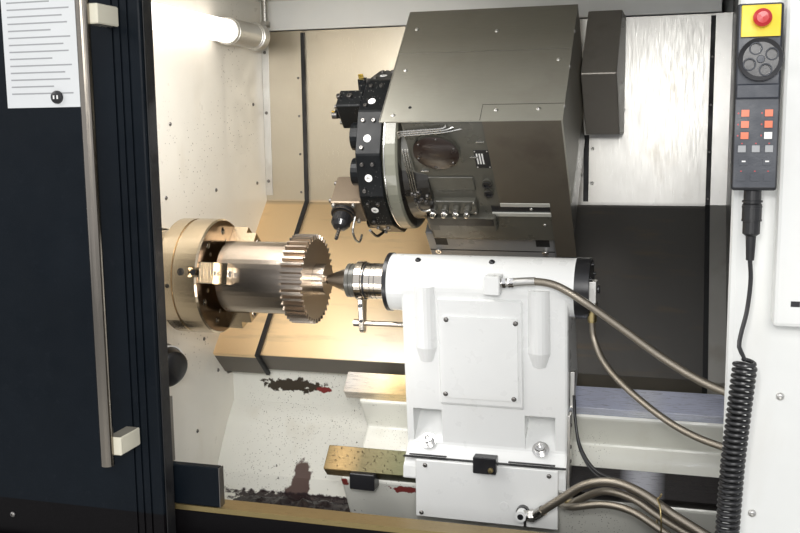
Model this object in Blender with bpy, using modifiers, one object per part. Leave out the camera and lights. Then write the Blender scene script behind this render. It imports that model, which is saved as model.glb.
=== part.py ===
"""Slant-bed turning lathe with turret, tailstock, sliding door and hand pendant.

Metres, +Z up. The machine's own coordinates start at the spindle axis where it meets the chuck's
front face: X runs right along the spindle, Y runs back, Z runs up. An empty there carries the rest.
On the 45 degree bed, u runs up and back along the slope and v runs out of it, up and forward.
"""

import bmesh
import bpy
from math import cos, pi, radians, sin, sqrt
from mathutils import Matrix, Vector

# Place of the machine in the world
CHUCK_FACE_X = -0.220
SPINDLE_Y = -0.342
SPINDLE_HEIGHT = 1.100
GAP = 0.0003
SLIP = 0.0005

# Enclosure
CASE_LEFT = -1.180
CASE_RIGHT = 1.620
CASE_FRONT = -0.350
CASE_BACK = 1.120
CASE_TOP = 0.760
SKIRT_BOTTOM = -1.020
SHEET = 0.012
OPENING_LEFT = -0.150
OPENING_RIGHT = 1.052
HEADER_BOTTOM = 0.600
CEILING = 0.665
COVER_TOP = 0.585

# Base and bed
BASE_TOP = -0.640
BASE_BOTTOM = -1.050
BASE_INSET = 0.030
CABINET_DEPTH = 0.220
CABINET_SHEET = 0.008
FOOT_RADIUS = 0.045
TROUGH_FLOOR = -0.960
WALL = 0.006
RIGHT_WALL_X = 1.078

# Way covers, in u and v
COVER_V = -0.333
COVER_U = 0.0007
COVER_LIP = 0.069
BACK_Y = 0.590
COVER_SHEET = 0.003
FIXED_PROUD = 0.008
LIP_PROUD = 0.010
LEFT_COVER_END = -0.036
RIGHT_COVER_START = 1.040
COVER_TUCK = 0.260

# Tailstock guide rails, in u and v
RAIL_V = -0.250
RAIL_THICK = 0.030
RAIL_LEFT = 0.247
UPPER_RAIL = (-0.132, -0.079)
LOWER_RAIL = (-0.324, -0.266)
LEDGE_LEFT = 0.278

# Spindle line
SHAFT_RADIUS = 0.080
SHAFT_BORE = 0.035
SHAFT_LEFT = -1.020
NOSE_RADIUS = 0.100
CHUCK_RADIUS = 0.127
CHUCK_LENGTH = 0.095
CHUCK_BORE = 0.034
SLOT_WIDTH = 0.021
SLOT_DEPTH = 0.018
JAW_WIDTH = 0.045
JAW_LENGTH = 0.060
JAW_HEIGHT = 0.040
JAW_ANGLES = (168, 288, 48)
BLANK_RADIUS = 0.0785
BLANK_LEFT = 0.018
GEAR_RADIUS = 0.0967
GEAR_ROOT = 0.0865
GEAR_TEETH = 40
GEAR_LEFT = 0.175
GEAR_RIGHT = 0.223
HUB_RADIUS = 0.034
HUB_RIGHT = 0.248
CENTRE_HOLE = 0.010

# Carriage and turret, in u and v
SADDLE_LEFT = 0.385
SADDLE_RIGHT = 0.692
SADDLE_FRONT_U = 0.262
SADDLE_TOP_V = -0.160
SLIDE_FRONT_U = 0.2425
SLIDE_BACK_U = 0.560
SLIDE_TOP_V = 0.2297
TURRET_U = 0.374
RING_RADIUS = 0.178
RING_LEFT = 0.346
RING_RIGHT = 0.380
DISC_RADIUS = 0.188
DISC_LEFT = 0.289
STATIONS = 12
TOOL_CIRCLE = 0.150
TOOL_REACH = 0.074
PLUG_RADIUS = 0.031
HOUSING_RIGHT = 0.740
HOOD_LEFT = 0.367
HOOD_RIGHT = 0.746
HOOD_FRONT_U = 0.239
HOOD_BACK_U = 0.590
HOOD_SHEET = 0.003
LIVE_X = 0.240
COLLET_RADIUS = 0.021

# Tailstock
BARREL_RADIUS = 0.0596
BARREL_LEFT = 0.386
BARREL_RIGHT = 0.778
CAP_RIGHT = 0.807
BODY_LEFT = 0.428
BODY_RIGHT = 0.768
QUILL_RADIUS = 0.038
QUILL_LEFT = 0.318
QUILL_RIGHT = 0.640
ROD_RADIUS = 0.006
ROD_Z = -0.092
CENTRE_RADIUS = 0.034
CENTRE_TIP = HUB_RIGHT - CENTRE_HOLE + 0.0008
COVER_PLATE = (0.515, 0.669)
APRON = (0.458, 0.754)
REAR_STUB = (0.8125, -0.030, -0.060)
LOWER_ELBOW = (0.684, -0.090, -0.450)

# Door
DOOR_LEAD = 0.061
DOOR_WIDTH = 1.240
DOOR_FRONT = -0.400
DOOR_THICK = 0.042
DOOR_BOTTOM = -0.475
DOOR_TOP = 0.640
HANDLE_X = -0.006
HANDLE_Y = -0.470
HANDLE_RADIUS = 0.012
HANDLE_ENDS = (-0.276, 0.550)
SILL_TOP = -0.389
TRACK_FRONT = -0.412

# Pendant and control panel
PENDANT = (1.0465, 1.1095)
PENDANT_FRONT = -0.440
PENDANT_BACK = -0.395
PENDANT_Z = (0.225, 0.491)
CORD_RADIUS = 0.0033
COIL_RADIUS = 0.0185
PANEL = (1.115, 1.585)
PANEL_Z = (0.017, 0.620)
PANEL_FRONT = -0.400
STEM_RADIUS = 0.006
STEM_DEPTH = 0.003

# Lamp
LAMP = Vector((-0.112, 0.0, 0.562))
LAMP_RADIUS = 0.030
LAMP_ENDS = (-0.270, 0.294)

HALF = sqrt(0.5)


def slant(u, v):
    """Y and Z of a point on the bed's slope coordinates."""
    return ((u - v) * HALF, (u + v) * HALF)


def up_slope(u):
    return Vector((0.0, u * HALF, u * HALF))


# Scene set-up

def clear_scene():
    for item in list(bpy.data.objects):
        bpy.data.objects.remove(item, do_unlink=True)


clear_scene()
PARTS = bpy.data.collections.new("turning_lathe")
CUTTERS = bpy.data.collections.new("cutters")
bpy.context.scene.collection.children.link(PARTS)
bpy.context.scene.collection.children.link(CUTTERS)

COLOURS = {
    "casing_white": ((0.80, 0.81, 0.79, 1), 0.45, 0.0),
    "casting_white": ((0.78, 0.80, 0.78, 1), 0.50, 0.0),
    "door_navy": ((0.018, 0.026, 0.040, 1), 0.45, 0.0),
    "stainless": ((0.60, 0.59, 0.57, 1), 0.32, 1.0),
    "dark_steel": ((0.10, 0.10, 0.10, 1), 0.40, 0.8),
    "ground_steel": ((0.62, 0.58, 0.52, 1), 0.25, 1.0),
    "hood_grey": ((0.20, 0.19, 0.17, 1), 0.45, 0.3),
    "black": ((0.015, 0.015, 0.016, 1), 0.40, 0.0),
    "machine_grey": ((0.12, 0.12, 0.115, 1), 0.50, 0.1),
    "glass": ((0.85, 0.90, 0.92, 1), 0.10, 0.0),
    "yellow": ((0.85, 0.65, 0.04, 1), 0.50, 0.0),
    "red": ((0.60, 0.02, 0.03, 1), 0.40, 0.0),
    "green": ((0.04, 0.40, 0.12, 1), 0.40, 0.0),
    "braid": ((0.30, 0.28, 0.26, 1), 0.40, 0.9),
}


def material(name):
    """One Principled material for each finish."""
    found = bpy.data.materials.get(name)
    if found:
        return found
    colour, roughness, metallic = COLOURS[name]
    made = bpy.data.materials.new(name)
    made.use_nodes = True
    shader = made.node_tree.nodes["Principled BSDF"]
    shader.inputs["Base Color"].default_value = colour
    shader.inputs["Roughness"].default_value = roughness
    shader.inputs["Metallic"].default_value = metallic
    made.diffuse_color = colour
    return made


def pivot(name, place, parent=None):
    """An empty on a joint's axis. Its place is in machine coordinates."""
    empty = bpy.data.objects.new(name, None)
    empty.empty_display_size = 0.05
    PARTS.objects.link(empty)
    empty["place"] = list(place)
    base = Vector(parent["place"]) if parent else Vector((0, 0, 0))
    empty.location = Vector(place) - base
    empty.parent = parent
    return empty


ROOT = pivot("machine", (0, 0, 0))
ROOT.location = (CHUCK_FACE_X, SPINDLE_Y, SPINDLE_HEIGHT)


# Makers: each returns an unnamed object in machine coordinates

def from_bmesh(bm, name="piece"):
    mesh = bpy.data.meshes.new(name)
    bm.to_mesh(mesh)
    bm.free()
    made = bpy.data.objects.new(name, mesh)
    PARTS.objects.link(made)
    return made


def box(x, y, z):
    """A box from its ranges along X, Y and Z."""
    bm = bmesh.new()
    bmesh.ops.create_cube(bm, size=1.0)
    size = Vector((x[1] - x[0], y[1] - y[0], z[1] - z[0]))
    middle = Vector((x[1] + x[0], y[1] + y[0], z[1] + z[0])) / 2
    bmesh.ops.scale(bm, vec=size, verts=bm.verts)
    bmesh.ops.translate(bm, vec=middle, verts=bm.verts)
    return from_bmesh(bm)


def rods(ends, radius, sides=24):
    """Plain round bars between pairs of points, in one object."""
    bm = bmesh.new()
    for start, end in ends:
        start, end = Vector(start), Vector(end)
        turn = (end - start).to_track_quat("Z", "Y").to_matrix().to_4x4()
        place = Matrix.Translation((start + end) / 2) @ turn
        bmesh.ops.create_cone(bm, cap_ends=True, segments=sides, radius1=radius, radius2=radius,
                              depth=(end - start).length, matrix=place)
    return smooth(from_bmesh(bm))


def smooth(made):
    made.data.shade_smooth()
    made.data.set_sharp_from_angle(angle=radians(35))
    return made


AXES = {
    "YZ": Matrix(((0, 0, 1), (1, 0, 0), (0, 1, 0))),
    "XZ": Matrix(((1, 0, 0), (0, 0, -1), (0, 1, 0))),
    "XY": Matrix.Identity(3),
    "XV": Matrix(((1, 0, 0), (0, -HALF, -HALF), (0, HALF, -HALF))),
    "XU": Matrix(((1, 0, 0), (0, HALF, -HALF), (0, HALF, HALF))),
}


def outline(points, span, plane="YZ"):
    """A flat outline in the named plane, with the given span along the plane's normal."""
    curve = bpy.data.curves.new("outline", "CURVE")
    curve.dimensions = "2D"
    curve.fill_mode = "BOTH"
    curve.extrude = abs(span[1] - span[0]) / 2
    spline = curve.splines.new("POLY")
    spline.points.add(len(points) - 1)
    for place, (a, b) in zip(spline.points, points):
        place.co = (a, b, 0, 1)
    spline.use_cyclic_u = True
    turn = AXES[plane]
    middle = turn @ Vector((0, 0, (span[0] + span[1]) / 2))
    return curve_to_mesh(curve, Matrix.Translation(middle) @ turn.to_4x4())


def curve_to_mesh(curve, place):
    """Turn a curve into a welded mesh with its place applied."""
    drawn = bpy.data.objects.new("drawn", curve)
    PARTS.objects.link(drawn)
    bpy.context.view_layer.update()
    seen = drawn.evaluated_get(bpy.context.evaluated_depsgraph_get())
    mesh = bpy.data.meshes.new_from_object(seen)
    bpy.data.objects.remove(drawn)
    bm = bmesh.new()
    bm.from_mesh(mesh)
    bmesh.ops.remove_doubles(bm, verts=bm.verts, dist=0.00001)
    bmesh.ops.transform(bm, matrix=place, verts=bm.verts)
    bmesh.ops.recalc_face_normals(bm, faces=bm.faces)
    return from_bmesh(bm)


def turned(profile, start, direction, steps=48, ring=False):
    """A turned piece. The profile holds (radius, distance) pairs and runs down its outer side."""
    mesh = bpy.data.meshes.new("turned")
    last = len(profile) - 1
    edges = [(n, n + 1) for n in range(last)]
    if ring:
        edges.append((last, 0))
    mesh.from_pydata([(r, 0, d) for r, d in profile], edges, [])
    made = bpy.data.objects.new("turned", mesh)
    PARTS.objects.link(made)
    made.rotation_mode = "QUATERNION"
    made.rotation_quaternion = Vector(direction).to_track_quat("Z", "Y")
    made.location = start
    screw = made.modifiers.new("Screw", "SCREW")
    screw.steps = screw.render_steps = steps
    screw.use_merge_vertices = True
    screw.merge_threshold = 0.00001
    screw.use_smooth_shade = True
    return made


def tube(points, radius, sides=2, plane_up=None):
    """A round tube along points, as a welded mesh."""
    curve = bpy.data.curves.new("route", "CURVE")
    curve.dimensions = "3D"
    curve.bevel_depth = radius
    curve.bevel_resolution = sides
    curve.use_fill_caps = True
    spline = curve.splines.new("POLY")
    spline.points.add(len(points) - 1)
    for place, point in zip(spline.points, points):
        place.co = (*point, 1)
    return smooth(curve_to_mesh(curve, Matrix.Identity(4)))


def soft_route(points, pieces):
    """A smooth curve through a route's points, cut into equal pieces."""
    points = [Vector(p) for p in points]
    ends = [points[0] * 2 - points[1]] + points + [points[-1] * 2 - points[-2]]
    fine = []
    for n in range(1, len(ends) - 2):
        a, b, c, d = ends[n - 1:n + 3]
        for step in range(12):
            t = step / 12
            fine.append(0.5 * (2 * b + (c - a) * t + (2 * a - 5 * b + 4 * c - d) * t * t
                               + (3 * b - a - 3 * c + d) * t ** 3))
    fine.append(points[-1])
    walked = [0.0]
    for before, after in zip(fine, fine[1:]):
        walked.append(walked[-1] + (after - before).length)
    route, n = [], 0
    for step in range(pieces + 1):
        goal = walked[-1] * step / pieces
        while n < len(fine) - 2 and walked[n + 1] < goal:
            n += 1
        share = (goal - walked[n]) / (walked[n + 1] - walked[n])
        route.append(fine[n].lerp(fine[n + 1], min(share, 1.0)))
    return route


# Joining and placing

def hide_tool(tool):
    PARTS.objects.unlink(tool)
    CUTTERS.objects.link(tool)
    tool.hide_render = True
    tool.display_type = "WIRE"
    tool.parent = ROOT


def combine(target, operation, tools):
    for tool in tools:
        hide_tool(tool)
        step = target.modifiers.new(operation.title(), "BOOLEAN")
        step.operation = operation
        step.object = tool
    return target


def cut(target, *tools):
    return combine(target, "DIFFERENCE", tools)


def join(target, *tools):
    return combine(target, "UNION", tools)


def bevel(target, width, segments=1):
    edge = target.modifiers.new("Bevel", "BEVEL")
    edge.width = width
    edge.segments = segments
    edge.limit_method = "ANGLE"
    return target


def place(made, name, finish, carrier=ROOT):
    """Name a piece, give it its finish, and hang it on the empty that carries it."""
    made.name = name
    made.data.name = name
    made.data.materials.clear()
    made.data.materials.append(material(finish))
    made.parent = carrier
    made.location = Vector(made.location) - Vector(carrier["place"])
    return made


def spin_about_x(made, degrees, centre=(0, 0, 0)):
    """Turn a piece's mesh about an axis along X."""
    turn = Matrix.Rotation(radians(degrees), 4, "X")
    shift = Matrix.Translation(Vector(centre))
    made.data.transform(shift @ turn @ shift.inverted())
    return made


# Joint axes, in machine coordinates

TURRET_AXIS = up_slope(TURRET_U)
DOOR_PIVOT = pivot("door_slide_axis", (DOOR_LEAD, DOOR_FRONT, 0), ROOT)
SPINDLE_PIVOT = pivot("spindle_axis", (0, 0, 0), ROOT)
CARRIAGE_PIVOT = pivot("carriage_slide_axis", (SADDLE_LEFT, 0, 0), ROOT)
CROSS_PIVOT = pivot("cross_slide_axis", TURRET_AXIS + Vector((HOUSING_RIGHT, 0, 0)), CARRIAGE_PIVOT)
TURRET_PIVOT = pivot("turret_axis", TURRET_AXIS + Vector((RING_LEFT, 0, 0)), CROSS_PIVOT)
TAIL_PIVOT = pivot("tailstock_slide_axis", (BODY_LEFT, 0, 0), ROOT)
QUILL_PIVOT = pivot("quill_axis", (QUILL_LEFT, 0, 0), TAIL_PIVOT)
CENTRE_PIVOT = pivot("centre_axis", (CENTRE_TIP, 0, 0), QUILL_PIVOT)


# Base, bed and rails

def make_base():
    """Welded base on levelling feet, with a swarf trough under the work area."""
    left, right = CASE_LEFT + BASE_INSET, CASE_RIGHT - BASE_INSET
    front, back = CASE_FRONT + 0.050, CASE_BACK - CABINET_DEPTH - 0.040
    base = bevel(box((left, right), (front, back), (BASE_BOTTOM, BASE_TOP)), 0.008)
    trough = box((OPENING_LEFT, RIGHT_WALL_X), (front + 0.020, 0.175), (TROUGH_FLOOR, BASE_TOP + 0.1))
    spots = [(left + 0.12 + n * (right - left - 0.24) / 3, y)
             for n in range(4) for y in (front + 0.10, back - 0.10)]
    feet = rods([((x, y, -SPINDLE_HEIGHT), (x, y, BASE_BOTTOM + 0.010)) for x, y in spots],
                FOOT_RADIUS, 20)
    place(join(cut(base, trough), feet), "base_frame", "machine_grey")


def bed_outline():
    """The slanted casting's section, with two raised box ways under the covers."""
    ways = [slant(u, v) for u, v in ((0.062, -0.420), (0.062, -0.400), (0.122, -0.400), (0.122, -0.420),
                                     (0.380, -0.420), (0.380, -0.400), (0.440, -0.400), (0.440, -0.420),
                                     (0.500, -0.420))]
    foot = BASE_TOP + GAP
    return [(0.084, foot), (0.094, -0.612), (0.204, -0.578), (0.216, -0.538), (0.290, -0.429),
            (0.332, -0.384), (0.332, -0.262)] + ways + [
        (0.760, 0.056), (0.845, -0.060), (0.845, foot)]


def ledge_outline():
    """The section of the raised ledge that carries both tailstock rails."""
    seat = RAIL_V - RAIL_THICK - GAP
    deep = seat - 0.090
    points = [slant(UPPER_RAIL[1] + 0.006, seat), slant(UPPER_RAIL[0] - 0.006, seat),
              slant(UPPER_RAIL[0] - 0.020, deep), slant(LOWER_RAIL[1] + 0.010, deep),
              slant(LOWER_RAIL[1] + 0.006, seat), slant(LOWER_RAIL[0] - 0.004, seat)]
    top = slant(COVER_U, COVER_V - COVER_LIP)[1] - 0.020
    return [(0.340, top), (0.195, top)] + points + [(0.040, -0.560), (0.150, BASE_TOP + GAP),
                                                    (0.340, BASE_TOP + GAP)]


def make_bed():
    right = RIGHT_WALL_X - GAP
    bed = outline(bed_outline(), (OPENING_LEFT + GAP, right))
    ledge = outline(ledge_outline(), (LEDGE_LEFT, right))
    place(join(bed, bevel(ledge, 0.006, 2)), "bed", "casting_white")


def make_rail(name, span):
    """A ground guide rail. Its end faces are bevelled as the real ones are."""
    low, high = span
    section = [slant(u, v) for u, v in ((low, RAIL_V - RAIL_THICK), (low, RAIL_V), (high, RAIL_V),
                                        (high, RAIL_V - RAIL_THICK))]
    rail = outline(section, (RAIL_LEFT, RIGHT_WALL_X - GAP))
    place(bevel(rail, 0.0015), name, "ground_steel")


# Sheet covers over the bed

def cover_section(proud, lip, sheet, top):
    """Section of a folded way cover: back panel, slope and lip."""
    v, u, back = COVER_V + proud, COVER_U - proud, BACK_Y - proud
    kink = back + v / HALF
    front = [(back, top), (back, kink), slant(u, v), slant(u, v - lip)]
    inner_u, inner_v = u + sheet, v - sheet
    rear = [slant(inner_u, v - lip), slant(inner_u, inner_v), (back + sheet, back + sheet + inner_v / HALF),
            (back + sheet, top)]
    return front + rear


def make_covers():
    """The cover that travels with the saddle, and the two narrow ones that it slides under."""
    moving = outline(cover_section(0, COVER_LIP, COVER_SHEET, COVER_TOP),
                     (OPENING_LEFT - COVER_TUCK, RIGHT_WALL_X + COVER_TUCK))
    place(moving, "moving_cover", "stainless", CARRIAGE_PIVOT)
    for name, span in (("left_fixed_cover", (OPENING_LEFT + GAP, LEFT_COVER_END)),
                       ("right_fixed_cover", (RIGHT_COVER_START, RIGHT_WALL_X - GAP))):
        fixed = outline(cover_section(FIXED_PROUD, COVER_LIP + 0.018, FIXED_PROUD - 0.002, COVER_TOP), span)
        place(fixed, name, "stainless")


def wall_outline():
    """A side wall of the work area, notched round the covers that pass behind its edge."""
    ease = FIXED_PROUD / 2
    v, u, back = COVER_V + ease, COVER_U - ease, BACK_Y - ease
    lip_end = v - COVER_LIP - 0.034
    notch, shelf = BACK_Y - LIP_PROUD - GAP, COVER_TOP + 0.003 - GAP
    return [(CASE_FRONT + SHEET + GAP, BASE_TOP + GAP), (CASE_FRONT + SHEET + GAP, CEILING - GAP),
            (notch, CEILING - GAP), (notch, shelf), (back, shelf), (back, back + v / HALF), slant(u, v),
            slant(u, lip_end), (0.600, slant(u, lip_end)[1]), (0.600, BASE_TOP + GAP)]


def make_walls():
    left = outline(wall_outline(), (OPENING_LEFT - WALL, OPENING_LEFT))
    hole = rods([((OPENING_LEFT - 0.05, 0, 0), (OPENING_LEFT + 0.05, 0, 0))], NOSE_RADIUS + 0.004, 48)
    place(cut(left, hole), "left_wall", "casing_white")
    place(outline(wall_outline(), (RIGHT_WALL_X, RIGHT_WALL_X + WALL)), "right_wall", "dark_steel")


# Enclosure

def make_left_casing():
    """Sheet shell over the headstock, open below and towards the work area."""
    right = OPENING_LEFT - WALL - GAP
    shell = bevel(box((CASE_LEFT, right), (CASE_FRONT, CASE_BACK), (SKIRT_BOTTOM, CASE_TOP)), 0.010, 2)
    hollow = box((CASE_LEFT + SHEET, right + 0.1), (CASE_FRONT + SHEET, CASE_BACK - SHEET),
                 (SKIRT_BOTTOM - 0.1, CASE_TOP - SHEET))
    place(cut(shell, hollow), "left_casing", "casing_white")


def make_right_casing():
    """White column and shell at the tailstock end, with the boss where the pendant's cord goes in."""
    left = OPENING_RIGHT
    shell = bevel(box((left, CASE_RIGHT), (CASE_FRONT, CASE_BACK), (SKIRT_BOTTOM, CASE_TOP)), 0.010, 2)
    hollow = box((left - 0.1, CASE_RIGHT - SHEET), (CASE_FRONT + SHEET, CASE_BACK - SHEET),
                 (SKIRT_BOTTOM - 0.1, CASE_TOP - SHEET))
    x, z = CORD_SOCKET[0], CORD_SOCKET[2]
    boss = rods([((x, CORD_SOCKET[1] + GAP, z), (x, CASE_FRONT + 0.004, z))], 0.014, 20)
    place(join(cut(shell, hollow), boss), "right_casing", "casing_white")


def make_roof():
    """Header, roof and ceiling folded from one sheet, with a lip down behind the work area."""
    top, ceiling = CASE_TOP, CEILING
    front, inner = CASE_FRONT, CASE_FRONT + SHEET
    lip = BACK_Y - 0.002
    section = [(front, HEADER_BOTTOM), (front, top), (CASE_BACK, top), (CASE_BACK, top - SHEET),
               (inner, top - SHEET), (inner, ceiling + 0.008), (lip, ceiling + 0.008),
               (lip, COVER_TOP + 0.003), (BACK_Y - LIP_PROUD, COVER_TOP + 0.003), (BACK_Y - LIP_PROUD, ceiling),
               (inner, ceiling), (inner, HEADER_BOTTOM)]
    left, right = OPENING_LEFT - WALL, OPENING_RIGHT - GAP
    place(outline(section, (left, right)), "roof_panel", "casing_white")


def make_front():
    """Lower front panel with the track that the door runs on, and the doorway's bright sill."""
    left, right = OPENING_LEFT - WALL, OPENING_RIGHT - GAP
    apron = bevel(box((left, right), (CASE_FRONT, CASE_FRONT + SHEET), (SKIRT_BOTTOM, SILL_TOP - 0.0103)),
                  0.002)
    back, rail = CASE_FRONT - GAP, DOOR_BOTTOM - GAP
    track = [(back, rail - 0.040), (TRACK_FRONT, rail - 0.040), (TRACK_FRONT, rail + 0.012),
             (TRACK_FRONT + 0.006, rail + 0.012), (TRACK_FRONT + 0.006, rail), (back, rail)]
    neck = box((left + 0.001, right - 0.001), (back - 0.010, back + 0.002), (rail - 0.030, rail - 0.004))
    place(join(apron, outline(track, (CASE_LEFT + 0.005, right)), neck), "front_apron", "door_navy")
    section = [(CASE_FRONT, SILL_TOP - 0.010), (CASE_FRONT, SILL_TOP), (CASE_FRONT + 0.050, SILL_TOP - 0.002),
               (CASE_FRONT + 0.050, SILL_TOP - 0.020), (CASE_FRONT + 0.042, SILL_TOP - 0.020),
               (CASE_FRONT + 0.042, SILL_TOP - 0.010)]
    place(outline(section, (OPENING_LEFT + GAP, right)), "front_sill", "ground_steel")


def make_cabinet():
    """Electrical cabinet across the back, with its hinged door and rotary main switch."""
    left, right = OPENING_LEFT - WALL, OPENING_RIGHT - GAP
    bottom, top = SKIRT_BOTTOM, CASE_TOP - SHEET - GAP
    back = CASE_BACK
    front = back - CABINET_DEPTH
    shell = box((left, right), (front, back), (bottom, top))
    hollow = box((left + 0.08, right - 0.08), (front + CABINET_SHEET, back + 0.1),
                 (bottom + 0.42, top - 0.06))
    place(cut(bevel(shell, 0.003), hollow), "electrical_cabinet", "casing_white")
    plate = front + CABINET_SHEET + GAP
    chassis = box((left + 0.14, right - 0.14), (plate, plate + 0.006), (bottom + 0.48, top - 0.12))
    rows = [box((left + 0.20, right - 0.20), (plate + 0.005, plate + 0.005 + deep), (low, low + tall))
            for low, tall, deep in ((-0.46, 0.16, 0.12), (-0.20, 0.22, 0.15), (0.12, 0.10, 0.07),
                                    (0.32, 0.12, 0.10), (0.52, 0.06, 0.07))]
    place(join(chassis, *rows), "drive_chassis", "machine_grey")
    x0, x1 = left + 0.06, right - 0.06
    low, high = bottom + 0.40, top - 0.04
    hinge = pivot("cabinet_door_axis", (x0, back + 0.012, 0), ROOT)
    leaf = bevel(box((x0, x1), (back + GAP, back + 0.020), (low, high)), 0.004, 2)
    barrel = rods([((x0 - 0.002, back + 0.012, z), (x0 - 0.002, back + 0.012, z + 0.08))
                   for z in (low + 0.10, high - 0.18)], 0.008, 16)
    place(join(leaf, barrel), "cabinet_door", "casing_white", hinge)
    knob_x, knob_z = x1 - 0.09, 0.25
    knob_axis = pivot("main_switch_axis", (knob_x, back + 0.020, knob_z), hinge)
    grip = turned([(0, 0.0257), (0.012, 0.0257), (0.028, 0.010), (0.032, 0.008), (0.032, 0), (0, 0)],
                  (knob_x, back + 0.020 + GAP, knob_z), (0, 1, 0), 28)
    lever = box((knob_x - 0.008, knob_x + 0.008), (back + 0.026, back + 0.0455), (knob_z - 0.038, knob_z + 0.038))
    place(join(grip, bevel(lever, 0.002)), "main_switch", "red", knob_axis)


def make_lamp():
    """Tubular work light on the left wall."""
    x, z = LAMP.x, LAMP.z
    low, high = LAMP_ENDS
    glass = turned([(0, high), (LAMP_RADIUS - 0.002, high), (LAMP_RADIUS - 0.002, low), (0, low)],
                   (x, 0, z), (0, 1, 0), 32)
    place(glass, "lamp_tube", "glass")
    far = turned([(0, high + 0.206), (0.020, high + 0.204), (0.024, high + 0.180), (0.036, high + 0.178),
                  (0.036, high + 0.148), (LAMP_RADIUS + 0.002, high + 0.146), (LAMP_RADIUS + 0.002, high + GAP),
                  (0, high + GAP)], (x, 0, z), (0, 1, 0), 32)
    near = turned([(0, low - GAP), (LAMP_RADIUS + 0.002, low - GAP), (LAMP_RADIUS + 0.002, low - 0.030),
                   (0, low - 0.034)], (x, 0, z), (0, 1, 0), 32)
    back = box((OPENING_LEFT + GAP, OPENING_LEFT + 0.0055), (low - 0.020, high + 0.100), (z - 0.016, z + 0.016))
    feet = [box((OPENING_LEFT + 0.003, x - 0.010), span, (z - 0.012, z + 0.012))
            for span in ((low - 0.024, low - 0.006), (high + 0.030, high + 0.060))]
    place(join(far, *feet, back, near), "lamp_fitting", "stainless")


# Headstock and spindle

def make_headstock():
    """Headstock casting on its foot, bored for the spindle."""
    section = [(-0.190, BASE_TOP + GAP), (-0.190, -0.560), (-0.130, -0.300), (-0.185, -0.150), (-0.185, 0.110),
               (-0.110, 0.185), (0.110, 0.185), (0.185, 0.110), (0.185, -0.300), (0.210, -0.560),
               (0.210, BASE_TOP + GAP)]
    head = outline(section, (-0.900, -0.170))
    bore = rods([((-1.0, 0, 0), (-0.1, 0, 0))], SHAFT_RADIUS + SLIP + 0.0002, 40)
    place(cut(head, bore), "headstock", "casting_white")


def make_spindle():
    """Hollow spindle with its nose flange, drive pulley and the chuck's draw cylinder."""
    nose = -CHUCK_LENGTH - GAP
    profile = [(SHAFT_BORE, nose), (NOSE_RADIUS, nose), (NOSE_RADIUS, OPENING_LEFT - 0.014),
               (SHAFT_RADIUS, OPENING_LEFT - 0.016), (SHAFT_RADIUS, -0.906), (0.110, -0.908), (0.110, -0.990),
               (0.070, -0.992), (0.070, -1.010), (0.095, -1.012), (0.095, -1.110), (SHAFT_BORE, -1.112)]
    place(turned(profile, (0, 0, 0), (1, 0, 0), 40, ring=True), "spindle", "ground_steel", SPINDLE_PIVOT)


def jaw_slot(angle):
    slot = box((-SLOT_DEPTH, 0.02), (0.045, CHUCK_RADIUS + 0.02), (-SLOT_WIDTH / 2, SLOT_WIDTH / 2))
    return spin_about_x(slot, angle)


def make_chuck():
    """Power chuck body with three jaw slots, cap screw pockets and a register groove."""
    groove = -0.052
    profile = [(CHUCK_BORE, 0), (CHUCK_RADIUS - 0.004, 0), (CHUCK_RADIUS, -0.004), (CHUCK_RADIUS, groove),
               (CHUCK_RADIUS - 0.003, groove - 0.001), (CHUCK_RADIUS - 0.003, groove - 0.006),
               (CHUCK_RADIUS, groove - 0.007), (CHUCK_RADIUS, -CHUCK_LENGTH + 0.003),
               (CHUCK_RADIUS - 0.003, -CHUCK_LENGTH), (CHUCK_BORE, -CHUCK_LENGTH)]
    chuck = turned(profile, (0, 0, 0), (1, 0, 0), 60, ring=True)
    holes = []
    for angle in JAW_ANGLES:
        for side in (-38, 38):
            y, z = 0.100 * cos(radians(angle + side)), 0.100 * sin(radians(angle + side))
            holes.append(((-0.014, y, z), (0.02, y, z)))
    place(cut(chuck, *[jaw_slot(angle) for angle in JAW_ANGLES], rods(holes, 0.0085, 16)), "chuck_body",
          "ground_steel", SPINDLE_PIVOT)


def make_jaw(number, angle):
    """A stepped jaw with its tongue in the chuck's slot, and its axis along its travel."""
    inner = BLANK_RADIUS + GAP
    outer = inner + JAW_HEIGHT
    width = JAW_WIDTH / 2
    tongue = SLOT_WIDTH / 2 - SLIP
    section = [(-SLOT_DEPTH + SLIP, -tongue), (GAP, -tongue), (GAP, -width), (JAW_LENGTH, -width),
               (JAW_LENGTH, width), (GAP, width), (GAP, tongue), (-SLOT_DEPTH + SLIP, tongue)]
    bar = outline(section, (-outer, -inner), "XZ")
    step = box((0.036, JAW_LENGTH + 0.01), (outer - 0.016, outer + 0.01), (-width - 0.01, width + 0.01))
    carrier = pivot(f"jaw_{number}_axis", (0, 0, 0), SPINDLE_PIVOT)
    place(cut(spin_about_x(bar, angle), spin_about_x(step, angle)), f"jaw_{number}", "ground_steel", carrier)


def gear_outline():
    """Straight-sided teeth round a circle."""
    points = []
    for tooth in range(GEAR_TEETH):
        for share, radius in ((-0.30, GEAR_ROOT), (-0.13, GEAR_RADIUS), (0.13, GEAR_RADIUS), (0.30, GEAR_ROOT)):
            angle = 2 * pi * (tooth + share) / GEAR_TEETH
            points.append((radius * cos(angle), radius * sin(angle)))
    return points


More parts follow.
